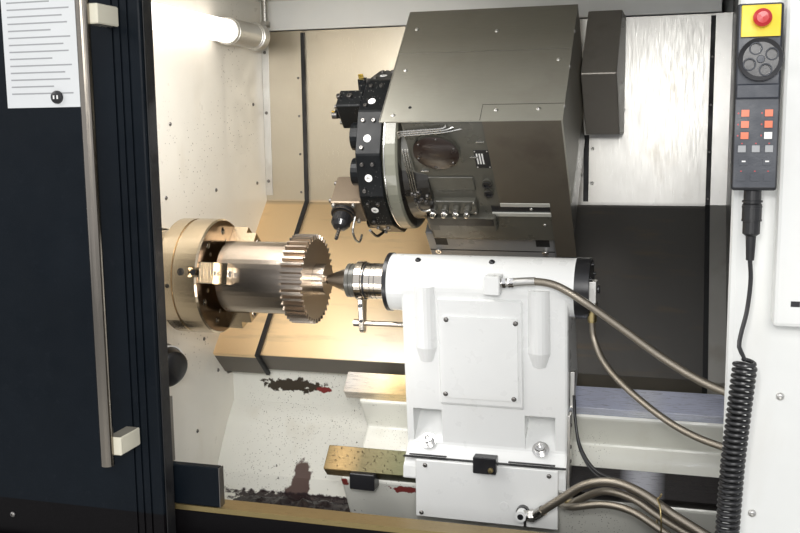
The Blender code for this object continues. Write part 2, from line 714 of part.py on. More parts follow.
def make_workpiece():
    """Turned gear blank held by the jaws and the live centre."""
    profile = [(0, HUB_RIGHT - CENTRE_HOLE), (CENTRE_HOLE, HUB_RIGHT), (HUB_RADIUS, HUB_RIGHT),
               (HUB_RADIUS, GEAR_RIGHT - 0.004), (0.070, GEAR_RIGHT - 0.004), (0.070, GEAR_LEFT + 0.004),
               (BLANK_RADIUS, GEAR_LEFT + 0.003), (BLANK_RADIUS, BLANK_LEFT + 0.002),
               (BLANK_RADIUS - 0.002, BLANK_LEFT), (0, BLANK_LEFT)]
    blank = turned(profile, (0, 0, 0), (1, 0, 0), 48)
    place(join(outline(gear_outline(), (GEAR_LEFT, GEAR_RIGHT)), blank), "workpiece", "ground_steel",
          SPINDLE_PIVOT)


# Carriage, cross slide and turret

def make_saddle():
    """Saddle above the cover, and the carriage plate below it that rides the bed's ways."""
    rear = BACK_Y - 0.004
    top, foot = SADDLE_TOP_V, COVER_V + GAP
    section = [slant(SADDLE_FRONT_U, foot), slant(SADDLE_FRONT_U, top), slant(0.560, top), slant(0.560, -0.265),
               slant(rear / HALF + foot - 0.004, foot)]
    saddle = bevel(outline(section, (SADDLE_LEFT, SADDLE_RIGHT)), 0.003)
    place(saddle, "saddle", "dark_steel", CARRIAGE_PIVOT)
    low, high = -0.400 + GAP, COVER_V - COVER_SHEET - GAP
    plate = [slant(0.040, low), slant(0.040, high), slant(0.470, high), slant(0.470, low),
             slant(0.442, low), slant(0.442, low - 0.015), slant(0.460, low - 0.015)]
    plate = plate[:4] + [slant(0.378, low), slant(0.378, low - 0.016), slant(0.124, low - 0.016),
                         slant(0.124, low)]
    place(outline(plate, (SADDLE_LEFT - 0.02, SADDLE_RIGHT + 0.02)), "carriage_plate", "machine_grey",
          CARRIAGE_PIVOT)
    rear_y = BACK_Y - GAP
    cover = [slant(0.516, -0.092), slant(0.516, 0.100), slant(0.731, 0.100), (rear_y, COVER_TOP), (rear_y, 0.300)]
    span = (HOOD_RIGHT + 0.003, 0.828)
    place(bevel(outline(cover, span), 0.002), "motor_cover", "hood_grey", CARRIAGE_PIVOT)


def make_housing():
    """Turret housing with its round bearing ring, a round cover, ports and a valve block."""
    low, high = SADDLE_TOP_V + GAP, SLIDE_TOP_V
    front, back = SLIDE_FRONT_U, SLIDE_BACK_U
    section = [slant(front, low), slant(front, high), slant(back, high), slant(back, low)]
    block = bevel(outline(section, (RING_RIGHT + 0.030, HOUSING_RIGHT)), 0.006, 2)
    centre = (0, TURRET_AXIS.y, TURRET_AXIS.z)
    neck = turned([(0, RING_RIGHT + 0.060), (0.148, RING_RIGHT + 0.060), (0.156, RING_RIGHT + 0.004),
                   (RING_RADIUS - 0.004, RING_RIGHT), (RING_RADIUS, RING_RIGHT - 0.004),
                   (RING_RADIUS, RING_LEFT + 0.003),
                   (RING_RADIUS - 0.003, RING_LEFT), (0, RING_LEFT)], centre, (1, 0, 0), 48)
    out = up_slope(1).normalized()
    face = Vector((0.474, *slant(front, 0.1445)))
    cover = rods([(face - out * 0.0055, face + out * 0.010)], 0.0505, 40)
    ports = rods([(Vector((0.569, *slant(front, v))) - out * 0.005, Vector((0.569, *slant(front, v))) + out * 0.01)
                  for v in (0.044, 0.015)], 0.011, 20)
    valve = [(0.422, -0.008), (0.536, -0.008), (0.536, -0.052), (0.422, -0.052)]
    manifold = bevel(outline(valve, (-front - 0.010, -front + 0.012), "XV"), 0.002)
    plugs = rods([(Vector((x, *slant(front - 0.008, -0.030))), Vector((x, *slant(front - 0.024, -0.030))))
                  for x in (0.438, 0.464, 0.490, 0.516)], 0.009, 12)
    shelf = [(0.414, -0.058), (0.575, -0.058), (0.575, -0.104), (0.414, -0.104)]
    valves = bevel(outline(shelf, (-front - 0.010, -front + 0.018), "XV"), 0.003)
    place(join(block, neck, cover, ports, manifold, valves, plugs), "turret_housing", "machine_grey", CROSS_PIVOT)


def make_hood():
    """Folded sheet hood over the housing, and the skirt that hangs in front of it."""
    top, low = SLIDE_TOP_V + GAP, SLIDE_TOP_V - 0.250
    section = [(HOOD_LEFT, top), (HOOD_LEFT, top + HOOD_SHEET), (HOOD_RIGHT, top + HOOD_SHEET),
               (HOOD_RIGHT, low), (HOOD_RIGHT - HOOD_SHEET, low), (HOOD_RIGHT - HOOD_SHEET, top)]
    hood = outline(section, (-HOOD_BACK_U, -HOOD_FRONT_U), "XV")
    place(hood, "hood", "hood_grey", CROSS_PIVOT)
    right = HOOD_RIGHT - HOOD_SHEET - GAP
    panel = [(0.584, SLIDE_TOP_V), (right, SLIDE_TOP_V), (right, SADDLE_TOP_V - 0.052),
             (0.697, SADDLE_TOP_V - 0.052),
             (0.697, -0.030), (0.588, -0.030)]
    skirt = outline(panel, (-SLIDE_FRONT_U + GAP, -SLIDE_FRONT_U + GAP + HOOD_SHEET), "XV")
    place(skirt, "hood_skirt", "hood_grey", CROSS_PIVOT)


def station_angle(number):
    """Direction of a turret station in the YZ plane; station 8 points to the spindle."""
    return 225 - (number - 8) * 360 / STATIONS


def on_turret(number, radius):
    """A point on the turret's tool circle, as Y and Z."""
    angle = radians(station_angle(number))
    return TURRET_AXIS.y + radius * cos(angle), TURRET_AXIS.z + radius * sin(angle)


def make_turret():
    """Twelve-sided tool disc with a centre cap and blanking plugs in its empty stations."""
    corners = []
    for number in range(STATIONS):
        for side in (-14.2, 14.2):
            angle = radians(station_angle(number) + side)
            corners.append((TURRET_AXIS.y + DISC_RADIUS * cos(angle), TURRET_AXIS.z + DISC_RADIUS * sin(angle)))
    corners = corners[1::-1] + [corners[n ^ 1] for n in range(2, 2 * STATIONS)]
    disc = bevel(outline(sorted_round(corners), (DISC_LEFT, RING_LEFT - GAP)), 0.003)
    centre = (0, TURRET_AXIS.y, TURRET_AXIS.z)
    cap = turned([(0, DISC_LEFT + 0.005), (0.088, DISC_LEFT + 0.005), (0.088, DISC_LEFT - 0.008),
                  (0.080, DISC_LEFT - 0.014), (0, DISC_LEFT - 0.014)], centre, (1, 0, 0), 48)
    plugs = []
    for number in (1, 2, 3, 4, 5, 6, 7, 9, 10):
        y, z = on_turret(number, TOOL_CIRCLE)
        plugs.append(((DISC_LEFT + 0.004, y, z), (DISC_LEFT - 0.017, y, z)))
    place(join(disc, cap, rods(plugs, PLUG_RADIUS, 20)), "turret_disc", "black", TURRET_PIVOT)


def sorted_round(points):
    """Points of a convex outline in order round the turret's axis."""
    def turn(point):
        return Vector((point[0] - TURRET_AXIS.y, point[1] - TURRET_AXIS.z)).angle_signed(Vector((1, 0)))
    return sorted(points, key=turn)


def tool_block(x, radial, across, number):
    """A block on a station, from its ranges along X, the station's radius and across it."""
    block = box(x, radial, across)
    spin_about_x(block, station_angle(number))
    block.data.transform(Matrix.Translation(TURRET_AXIS))
    return block


def make_tools():
    """A bolt-on turning holder, a boring holder, and a driven tool with its own spindle."""
    face = DISC_LEFT - GAP
    inner = face - TOOL_REACH
    block = bevel(tool_block((inner + 0.014, face), (0.104, 0.178), (-0.024, 0.026), 11), 0.003)
    bar = tool_block((inner - 0.002, face - 0.01), (0.118, 0.140), (-0.018, 0.006), 11)
    place(join(block, bar), "boring_holder", "black", TURRET_PIVOT)
    holder = bevel(tool_block((face - 0.030, face), (0.108, 0.168), (-0.020, 0.022), 12), 0.003)
    wedge = tool_block((face - 0.036, face - 0.020), (0.128, 0.176), (-0.010, 0.010), 12)
    place(join(holder, wedge), "turning_holder", "black", TURRET_PIVOT)
    head = bevel(tool_block((inner, face), (0.106, 0.186), (-0.034, 0.034), 8), 0.004, 2)
    towards = -up_slope(1).normalized()
    start = TURRET_AXIS + Vector((LIVE_X, 0, 0)) + towards * 0.180
    collar = rods([(start, start + towards * 0.014)], 0.028, 24)
    place(join(head, collar), "live_tool_head", "machine_grey", TURRET_PIVOT)
    nose = TURRET_AXIS + Vector((LIVE_X, 0, 0)) + towards * (0.194 + GAP)
    live = pivot("live_tool_axis", nose, TURRET_PIVOT)
    collet = turned([(0, 0.072), (0.004, 0.068), (0.004, 0.040), (0.014, 0.036), (COLLET_RADIUS, 0.026),
                     (COLLET_RADIUS, 0.004), (0.016, 0.002), (0.016, 0), (0, 0)], nose, towards, 24)
    place(collet, "live_tool_collet", "ground_steel", live)


# Tailstock

LEAN_TOP = (-BARREL_RADIUS, 0.003)
LEAN_BOTTOM = (-0.0215, -0.340)


def lean_y(z):
    """Y of the tailstock's leaning front face at a height."""
    share = (z - LEAN_TOP[1]) / (LEAN_BOTTOM[1] - LEAN_TOP[1])
    return LEAN_TOP[0] + share * (LEAN_BOTTOM[0] - LEAN_TOP[0])


def make_tailstock():
    """Tailstock casting: barrel, leaning front with ribs and bolt pockets, and its base on the rails."""
    foot = RAIL_V + GAP
    section = [LEAN_TOP, LEAN_BOTTOM, (-0.0545, -0.3755), slant(LOWER_RAIL[0] - 0.006, foot),
               slant(UPPER_RAIL[1] + 0.030, foot), (0.105, -0.120), (BARREL_RADIUS, 0.003)]
    body = bevel(outline(section, (BODY_LEFT, BODY_RIGHT)), 0.006, 2)
    barrel = turned([(0, CAP_RIGHT), (BARREL_RADIUS + 0.001, CAP_RIGHT), (BARREL_RADIUS + 0.001, BARREL_RIGHT),
                     (BARREL_RADIUS, BARREL_RIGHT), (BARREL_RADIUS, BARREL_LEFT + 0.010),
                     (BARREL_RADIUS + 0.001, BARREL_LEFT + 0.010), (BARREL_RADIUS + 0.001, BARREL_LEFT + 0.002),
                     (BARREL_RADIUS - 0.002, BARREL_LEFT), (0, BARREL_LEFT)], (0, 0, 0), (1, 0, 0), 48)
    pieces = [barrel]
    for low, high in ((0.451, 0.505), (0.684, 0.738)):
        middle, radius = (low + high) / 2, (high - low) / 2
        y = lean_y(-0.120) + 0.004
        rib = turned([(0, 0.150), (radius * 0.7, 0.140), (radius, 0.110), (radius, -0.020), (0, -0.020)],
                     (middle, y, -0.016), (0, 0.10, -1), 24)
        pieces.append(rib)
    raised = [(lean_y(-0.020) - 0.006, -0.020), (lean_y(-0.246) - 0.006, -0.246), (lean_y(-0.250), -0.250),
              (0.0, -0.250), (0.0, -0.020)]
    pieces.append(bevel(outline(raised, (COVER_PLATE[0] - 0.010, COVER_PLATE[1] + 0.010)), 0.003))
    pieces.append(bevel(box((0.607, 0.639), (-0.092, 0.0), (-0.006, 0.032)), 0.002))
    x, y, z = REAR_STUB
    pieces.append(bevel(box((CAP_RIGHT - 0.004, x + 0.008), (y - 0.015, y + 0.015), (-0.022, 0.020)), 0.001))
    pieces.append(rods([((x, y, -0.020), (x, y, z))], 0.008, 16))
    pockets = []
    seat = RAIL_V + 0.028
    for low, high in ((0.444, 0.506), (0.680, 0.742)):
        depth = 0.030
        wedge = [(-0.120, -0.262), (depth, -0.262), (depth, depth + seat / HALF), (-0.120, -0.120 + seat / HALF)]
        pockets.append(outline(wedge, (low, high)))
    bore = rods([((BARREL_LEFT - 0.05, 0, 0), (QUILL_RIGHT + 0.052, 0, 0))], QUILL_RADIUS + SLIP, 40)
    guide = rods([((BODY_LEFT - 0.05, 0, ROD_Z), (BODY_LEFT + 0.090, 0, ROD_Z))], ROD_RADIUS + SLIP, 16)
    place(cut(join(body, *pieces), *pockets, bore, guide), "tailstock_body", "casting_white", TAIL_PIVOT)


def make_tailstock_covers():
    """Inspection plate, and the lower plate in front of the rail."""
    out = 0.006 + GAP
    top, bottom, thick = -0.057, -0.231, 0.003
    plate = [(lean_y(z) - d, z) for z, d in ((top, out), (top, out + thick), (bottom, out + thick), (bottom, out))]
    place(outline(plate, COVER_PLATE), "tailstock_cover", "casting_white", TAIL_PIVOT)
    y = slant(LOWER_RAIL[0] - 0.006, RAIL_V)[0] - GAP
    apron = bevel(box(APRON, (y - 0.009, y), (-0.485, -0.362)), 0.0015)
    keeper = [slant(LOWER_RAIL[0] - 0.0065, RAIL_V - 0.002),
              slant(LOWER_RAIL[0] - 0.0065, RAIL_V - RAIL_THICK + 0.001),
              (y - 0.004, -0.440), (y - 0.004, -0.410)]
    x, _, z = LOWER_ELBOW
    elbow = rods([((x, y - 0.006, z), (x, LOWER_ELBOW[1] - 0.012, z))], 0.011, 20)
    place(join(apron, outline(keeper, (APRON[0] + 0.02, APRON[1] - 0.02)), elbow), "tailstock_apron",
          "casting_white", TAIL_PIVOT)


def make_quill():
    """Quill with its collar, arm and guide rod, and the live centre that turns in it."""
    collar = QUILL_LEFT
    profile = [(0, QUILL_RIGHT), (QUILL_RADIUS, QUILL_RIGHT), (QUILL_RADIUS, collar + 0.016),
               (QUILL_RADIUS + 0.004, collar + 0.015), (QUILL_RADIUS + 0.004, collar + 0.001),
               (QUILL_RADIUS + 0.003, collar), (0, collar)]
    quill = turned(profile, (0, 0, 0), (1, 0, 0), 40)
    arm = outline([(-0.016, -0.030), (0.016, -0.030), (0.008, -0.108), (0.0, -0.114), (-0.008, -0.108)],
                  (collar + 0.001, collar + 0.013))
    rod = rods([((collar - 0.004, 0, ROD_Z), (BODY_LEFT + 0.030, 0, ROD_Z))], ROD_RADIUS, 16)
    knob = rods([((collar - 0.012, 0, ROD_Z), (collar + 0.003, 0, ROD_Z))], 0.008, 16)
    place(join(quill, bevel(arm, 0.002), rod, knob), "quill", "ground_steel", QUILL_PIVOT)
    tip, back = CENTRE_TIP, collar - GAP
    cone = turned([(0, back), (CENTRE_RADIUS - 0.002, back), (CENTRE_RADIUS, back - 0.002),
                   (CENTRE_RADIUS, back - 0.018),
                   (CENTRE_RADIUS - 0.006, back - 0.022), (CENTRE_HOLE + 0.004, tip + 0.022),
                   (CENTRE_HOLE - 0.002, tip + CENTRE_HOLE - 0.002), (0, tip)], (0, 0, 0), (1, 0, 0), 36)
    place(cone, "live_centre", "ground_steel", CENTRE_PIVOT)


# Door

def make_door():
    """Sliding door with a window, a folded leading edge, and a long tubular handle."""
    lead, trail = DOOR_LEAD, DOOR_LEAD - DOOR_WIDTH
    front, back = DOOR_FRONT, DOOR_FRONT + DOOR_THICK
    leaf = bevel(box((trail, lead), (front, back), (DOOR_BOTTOM, DOOR_TOP)), 0.004, 2)
    grooves = [box((x, x + 0.004), (front - 0.01, front + 0.004), (DOOR_BOTTOM - 0.01, DOOR_TOP + 0.01))
               for x in (lead - 0.026, lead - 0.042, lead - 0.057)]
    low, high = (-0.860, 0.020), (-0.320, 0.460)
    hole = box((low[0], high[0]), (front - 0.01, back + 0.01), (low[1], high[1]))
    rebate = box((low[0] - 0.018, high[0] + 0.018), (front - 0.01, front + 0.010),
                 (low[1] - 0.018, high[1] + 0.018))
    place(cut(leaf, *grooves, hole, rebate), "door", "door_navy", DOOR_PIVOT)
    edge = 0.018 - GAP
    pane = box((low[0] - edge, high[0] + edge), (front + 0.002, front + 0.010 - GAP),
               (low[1] - edge, high[1] + edge))
    place(pane, "door_window", "glass", DOOR_PIVOT)
    bar = rods([((HANDLE_X, HANDLE_Y, HANDLE_ENDS[0]), (HANDLE_X, HANDLE_Y, HANDLE_ENDS[1]))], HANDLE_RADIUS, 24)
    posts = [bevel(box((HANDLE_X - 0.003, HANDLE_X + 0.026), (HANDLE_Y + 0.004, front - GAP),
                       (z - 0.017, z + 0.017)),
                   0.002) for z in (HANDLE_ENDS[0] + 0.035, HANDLE_ENDS[1] - 0.030)]
    place(join(bar, *posts), "door_handle", "stainless", DOOR_PIVOT)


# Pendant, its cord, and the control panel

PENDANT_MIDDLE = (PENDANT[0] + PENDANT[1]) / 2
PLUG_Y = -0.4175
PLUG_BOTTOM = 0.120
CORD_SOCKET = (1.075, -0.374, -0.640)
LEAD_ROUTE = [(PENDANT_MIDDLE, PLUG_Y, PLUG_BOTTOM - GAP), (1.080, PLUG_Y, 0.088), (1.076, -0.424, 0.044),
              (1.068, -0.436, 0.010), (1.066, -0.446, -0.008), (1.074, -0.450, -0.0215)]
COIL_ROUTE = [(1.0755, -0.450, -0.024), (1.0715, -0.450, -0.070), (1.068, -0.450, -0.115), (1.063, -0.450, -0.180),
              (1.060, -0.450, -0.250), (1.057, -0.450, -0.330), (1.052, -0.450, -0.430), (1.050, -0.450, -0.520)]
TAIL_ROUTE = [(1.050, -0.450, -0.522), (1.051, -0.449, -0.560), (1.058, -0.440, -0.600), (1.068, -0.418, -0.628),
              (1.074, -0.396, -0.638), (1.075, -0.3745, -0.640)]


def make_pendant():
    """Hand pendant on its hook, with a stop button, a handwheel and a keypad."""
    x0, x1 = PENDANT
    front, back = PENDANT_FRONT, PENDANT_BACK
    low, high = PENDANT_Z
    body = bevel(box((x0, x1), (front, back), (low, high)), 0.004, 2)
    hook = bevel(box((x0 + 0.016, x1 - 0.010), (back - 0.002, CASE_FRONT - GAP),
                     (high - 0.090, high - 0.030)), 0.003)
    plate = bevel(box((x0 + 0.006, x1 - 0.004), (front - 0.004, front + 0.002), (high - 0.048, high - 0.003)),
                  0.001)
    band = bevel(box((x0 + 0.002, x1 - 0.002), (front - 0.006, front + 0.002), (high - 0.134, high - 0.113)),
                 0.002)
    keys = []
    wide, narrow = (0.010, 0.042), (0.007, 0.026, 0.044)
    for down, starts in ((0.149, wide), (0.165, wide), (0.181, wide), (0.200, narrow), (0.218, wide),
                         (0.241, narrow)):
        for start in starts:
            keys.append(box((x0 + start, x0 + start + 0.012), (front - 0.0018, front + 0.002),
                            (high - down - 0.011, high - down)))
    middle = PENDANT_MIDDLE + 0.002
    stem = socket((middle, front - 0.004, high - 0.022), STEM_RADIUS + SLIP)
    place(cut(join(body, hook, plate, band, *keys), stem), "pendant_body", "machine_grey")
    stop = pivot("pendant_stop_axis", (middle, front - 0.004, high - 0.022), ROOT)
    mushroom = turned([(0, 0.020), (0.008, 0.019), (0.0125, 0.015), (0.013, 0.010), (STEM_RADIUS, 0.007),
                       (STEM_RADIUS, -STEM_DEPTH), (0, -STEM_DEPTH)], (middle, front - 0.004, high - 0.022),
                      (0, -1, 0), 28)
    place(mushroom, "pendant_stop", "red", stop)
    wheel_z = high - 0.079
    wheel = pivot("pendant_wheel_axis", (middle, front, wheel_z), ROOT)
    rim = turned([(0, 0.010), (0.024, 0.010), (0.030, 0.012), (0.0305, 0.009), (0.0305, 0.001), (0.029, 0),
                  (0, 0)],
                 (middle, front - GAP, wheel_z), (0, -1, 0), 48)
    dimples = []
    for step in range(4):
        angle = radians(25 + 90 * step)
        x, z = middle + 0.0165 * cos(angle), wheel_z + 0.0165 * sin(angle)
        dimples.append(((x, front - 0.005, z), (x, front - 0.03, z)))
    place(cut(rim, rods(dimples, 0.0072, 16)), "pendant_wheel", "black", wheel)
    plug = turned([(0, low - GAP), (0.0125, low - GAP), (0.0125, 0.205), (0.014, 0.203), (0.014, 0.180),
                   (0.0125, 0.178),
                   (0.0125, 0.160), (0.0075, 0.156), (0.0060, PLUG_BOTTOM), (0, PLUG_BOTTOM)],
                  (PENDANT_MIDDLE, PLUG_Y, 0), (0, 0, 1), 24)
    place(plug, "pendant_plug", "black")


def make_pendant_cord():
    """Lead from the plug, the curly part's outer shape, and the lead into the column."""
    place(tube(soft_route(LEAD_ROUTE, 14), CORD_RADIUS), "pendant_lead", "black")
    place(tube(soft_route(COIL_ROUTE, 12), COIL_RADIUS, 4), "pendant_coil", "black")
    place(tube(soft_route(TAIL_ROUTE, 14), CORD_RADIUS), "pendant_tail", "black")


def make_panel():
    """Control panel on the column: screen, key field, stop button and start button."""
    x0, x1 = PANEL
    low, high = PANEL_Z
    front = PANEL_FRONT
    body = bevel(box((x0, x1), (front, CASE_FRONT - GAP), (low, high)), 0.006, 2)
    screen = ((x0 + 0.085, x1 - 0.050), (high - 0.290, high - 0.040))
    sunk = box(screen[0], (front - 0.01, front + 0.006), screen[1])
    keys = []
    for row in range(5):
        for column in range(10):
            x = x0 + 0.086 + column * 0.034
            z = low + 0.230 - row * 0.028
            keys.append(box((x, x + 0.026), (front - 0.002, front + 0.002), (z, z + 0.020)))
    buttons = (("panel_stop", "red", x0 + 0.120, 0.018), ("cycle_start", "green", x0 + 0.330, 0.011))
    stems = [socket((x, front, low + 0.055), STEM_RADIUS + SLIP) for _, _, x, _ in buttons]
    place(cut(join(cut(body, sunk), merge(keys)), *stems), "control_panel", "casing_white")
    (a, b), (c, d) = screen
    place(box((a + GAP, b - GAP), (front + 0.001, front + 0.006 - GAP), (c + GAP, d - GAP)), "panel_screen",
          "glass")
    for name, finish, x, radius in buttons:
        z = low + 0.055
        axis = pivot(f"{name}_axis", (x, front, z), ROOT)
        button = turned([(0, 0.022), (radius - 0.002, 0.021), (radius, 0.016), (radius, 0.008),
                         (STEM_RADIUS, 0.007),
                         (STEM_RADIUS, -STEM_DEPTH), (0, -STEM_DEPTH)], (x, front, z), (0, -1, 0), 28)
        place(button, name, finish, axis)


def socket(place_at, radius, depth=0.007):
    """A round pocket into a front face, for a button's stem."""
    x, y, z = place_at
    return rods([((x, y - 0.02, z), (x, y + depth, z))], radius, 20)


def merge(pieces):
    """Join separate blocks into one object, as a single tool."""
    bm = bmesh.new()
    for piece in pieces:
        bm.from_mesh(piece.data)
        bpy.data.objects.remove(piece)
    return from_bmesh(bm)


# Hoses between the tailstock and the right wall

HOSE_END = RIGHT_WALL_X - 0.001
UPPER_ROUTE = [(0.640, -0.080, 0.018), (0.656, -0.080, 0.019), (0.700, -0.085, 0.024), (0.750, -0.092, 0.018),
               (0.811, -0.104, -0.014), (0.880, -0.132, -0.054), (0.946, -0.165, -0.092), (1.010, -0.205, -0.120),
               (1.060, -0.236, -0.133), (HOSE_END, -0.236, -0.133)]
REAR_ROUTE = [(REAR_STUB[0], REAR_STUB[1], REAR_STUB[2] - GAP), (0.8135, -0.030, -0.078), (0.8175, -0.032, -0.098),
              (0.834, -0.048, -0.130), (0.862, -0.075, -0.158), (0.905, -0.112, -0.186), (0.960, -0.160, -0.212),
              (1.010, -0.200, -0.226), (1.060, -0.232, -0.232), (HOSE_END, -0.232, -0.232)]
LOWER_ROUTE = [(LOWER_ELBOW[0] + 0.013, LOWER_ELBOW[1], LOWER_ELBOW[2]), (0.710, -0.0915, -0.4480),
               (0.730, -0.102, -0.430), (0.763, -0.112, -0.402), (0.812, -0.126, -0.362), (0.866, -0.146, -0.344),
               (0.920, -0.172, -0.350), (0.980, -0.206, -0.374), (1.058, -0.248, -0.400),
               (HOSE_END, -0.248, -0.400)]


def make_hoses():
    for name, route, radius in (("upper_hose", UPPER_ROUTE, 0.0075), ("rear_hose", REAR_ROUTE, 0.0065),
                                ("lower_hose", LOWER_ROUTE, 0.0085)):
        place(tube(soft_route(route, 26), radius), name, "braid")


make_base()
make_bed()
make_rail("upper_rail", UPPER_RAIL)
make_rail("lower_rail", LOWER_RAIL)
make_covers()
make_walls()
make_left_casing()
make_right_casing()
make_roof()
make_front()
make_cabinet()
make_lamp()
make_headstock()
make_spindle()
make_chuck()
for count, jaw_angle in enumerate(JAW_ANGLES, 1):
    make_jaw(count, jaw_angle)
make_workpiece()
make_saddle()
make_housing()
make_hood()
make_turret()
make_tools()
make_tailstock()
make_tailstock_covers()
make_quill()
make_door()
make_pendant()
make_pendant_cord()
make_panel()
make_hoses()
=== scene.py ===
"""Looks of the turning lathe: materials, small parts, pendant cord and hoses, light and camera.

Pieces are placed in machine coordinates, metres from the spindle axis at the chuck's front face:
X right along the spindle, Y back, Z up. at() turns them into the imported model's frame. On the
45 degree bed, u runs up and back along the slope and v runs out of it, up and forward.
"""

import math
import random

import bmesh
import bpy
from mathutils import Matrix, Vector, noise


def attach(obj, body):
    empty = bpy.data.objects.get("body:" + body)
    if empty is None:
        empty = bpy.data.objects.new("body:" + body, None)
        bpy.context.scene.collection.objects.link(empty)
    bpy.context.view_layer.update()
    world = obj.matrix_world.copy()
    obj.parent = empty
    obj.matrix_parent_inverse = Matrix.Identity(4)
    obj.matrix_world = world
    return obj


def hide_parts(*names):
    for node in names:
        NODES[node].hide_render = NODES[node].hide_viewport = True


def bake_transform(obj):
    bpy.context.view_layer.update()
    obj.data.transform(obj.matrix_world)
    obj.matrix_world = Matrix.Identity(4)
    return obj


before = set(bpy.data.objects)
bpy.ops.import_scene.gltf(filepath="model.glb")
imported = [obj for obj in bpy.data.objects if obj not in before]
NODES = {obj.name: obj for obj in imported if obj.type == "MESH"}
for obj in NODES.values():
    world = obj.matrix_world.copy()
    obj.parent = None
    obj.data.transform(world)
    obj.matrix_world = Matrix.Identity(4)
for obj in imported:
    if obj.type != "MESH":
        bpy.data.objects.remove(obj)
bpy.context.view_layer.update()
ORIGIN = Vector((-0.220, -0.342, 1.100))
HALF = math.sqrt(0.5)
random.seed(7)


def at(x, y, z):
    return ORIGIN + Vector((x, y, z))


def slant(u, v):
    return ((u - v) * HALF, (u + v) * HALF)


def on_slant(x, u, v):
    return at(x, *slant(u, v))


OUT_V = Vector((0, -HALF, HALF))
OUT_FRONT = Vector((0, -HALF, -HALF))
SLOPE = Vector((0, HALF, HALF))
FORWARD = Vector((0, -1, 0))
RIGHT = Vector((1, 0, 0))
UP = Vector((0, 0, 1))


# Materials

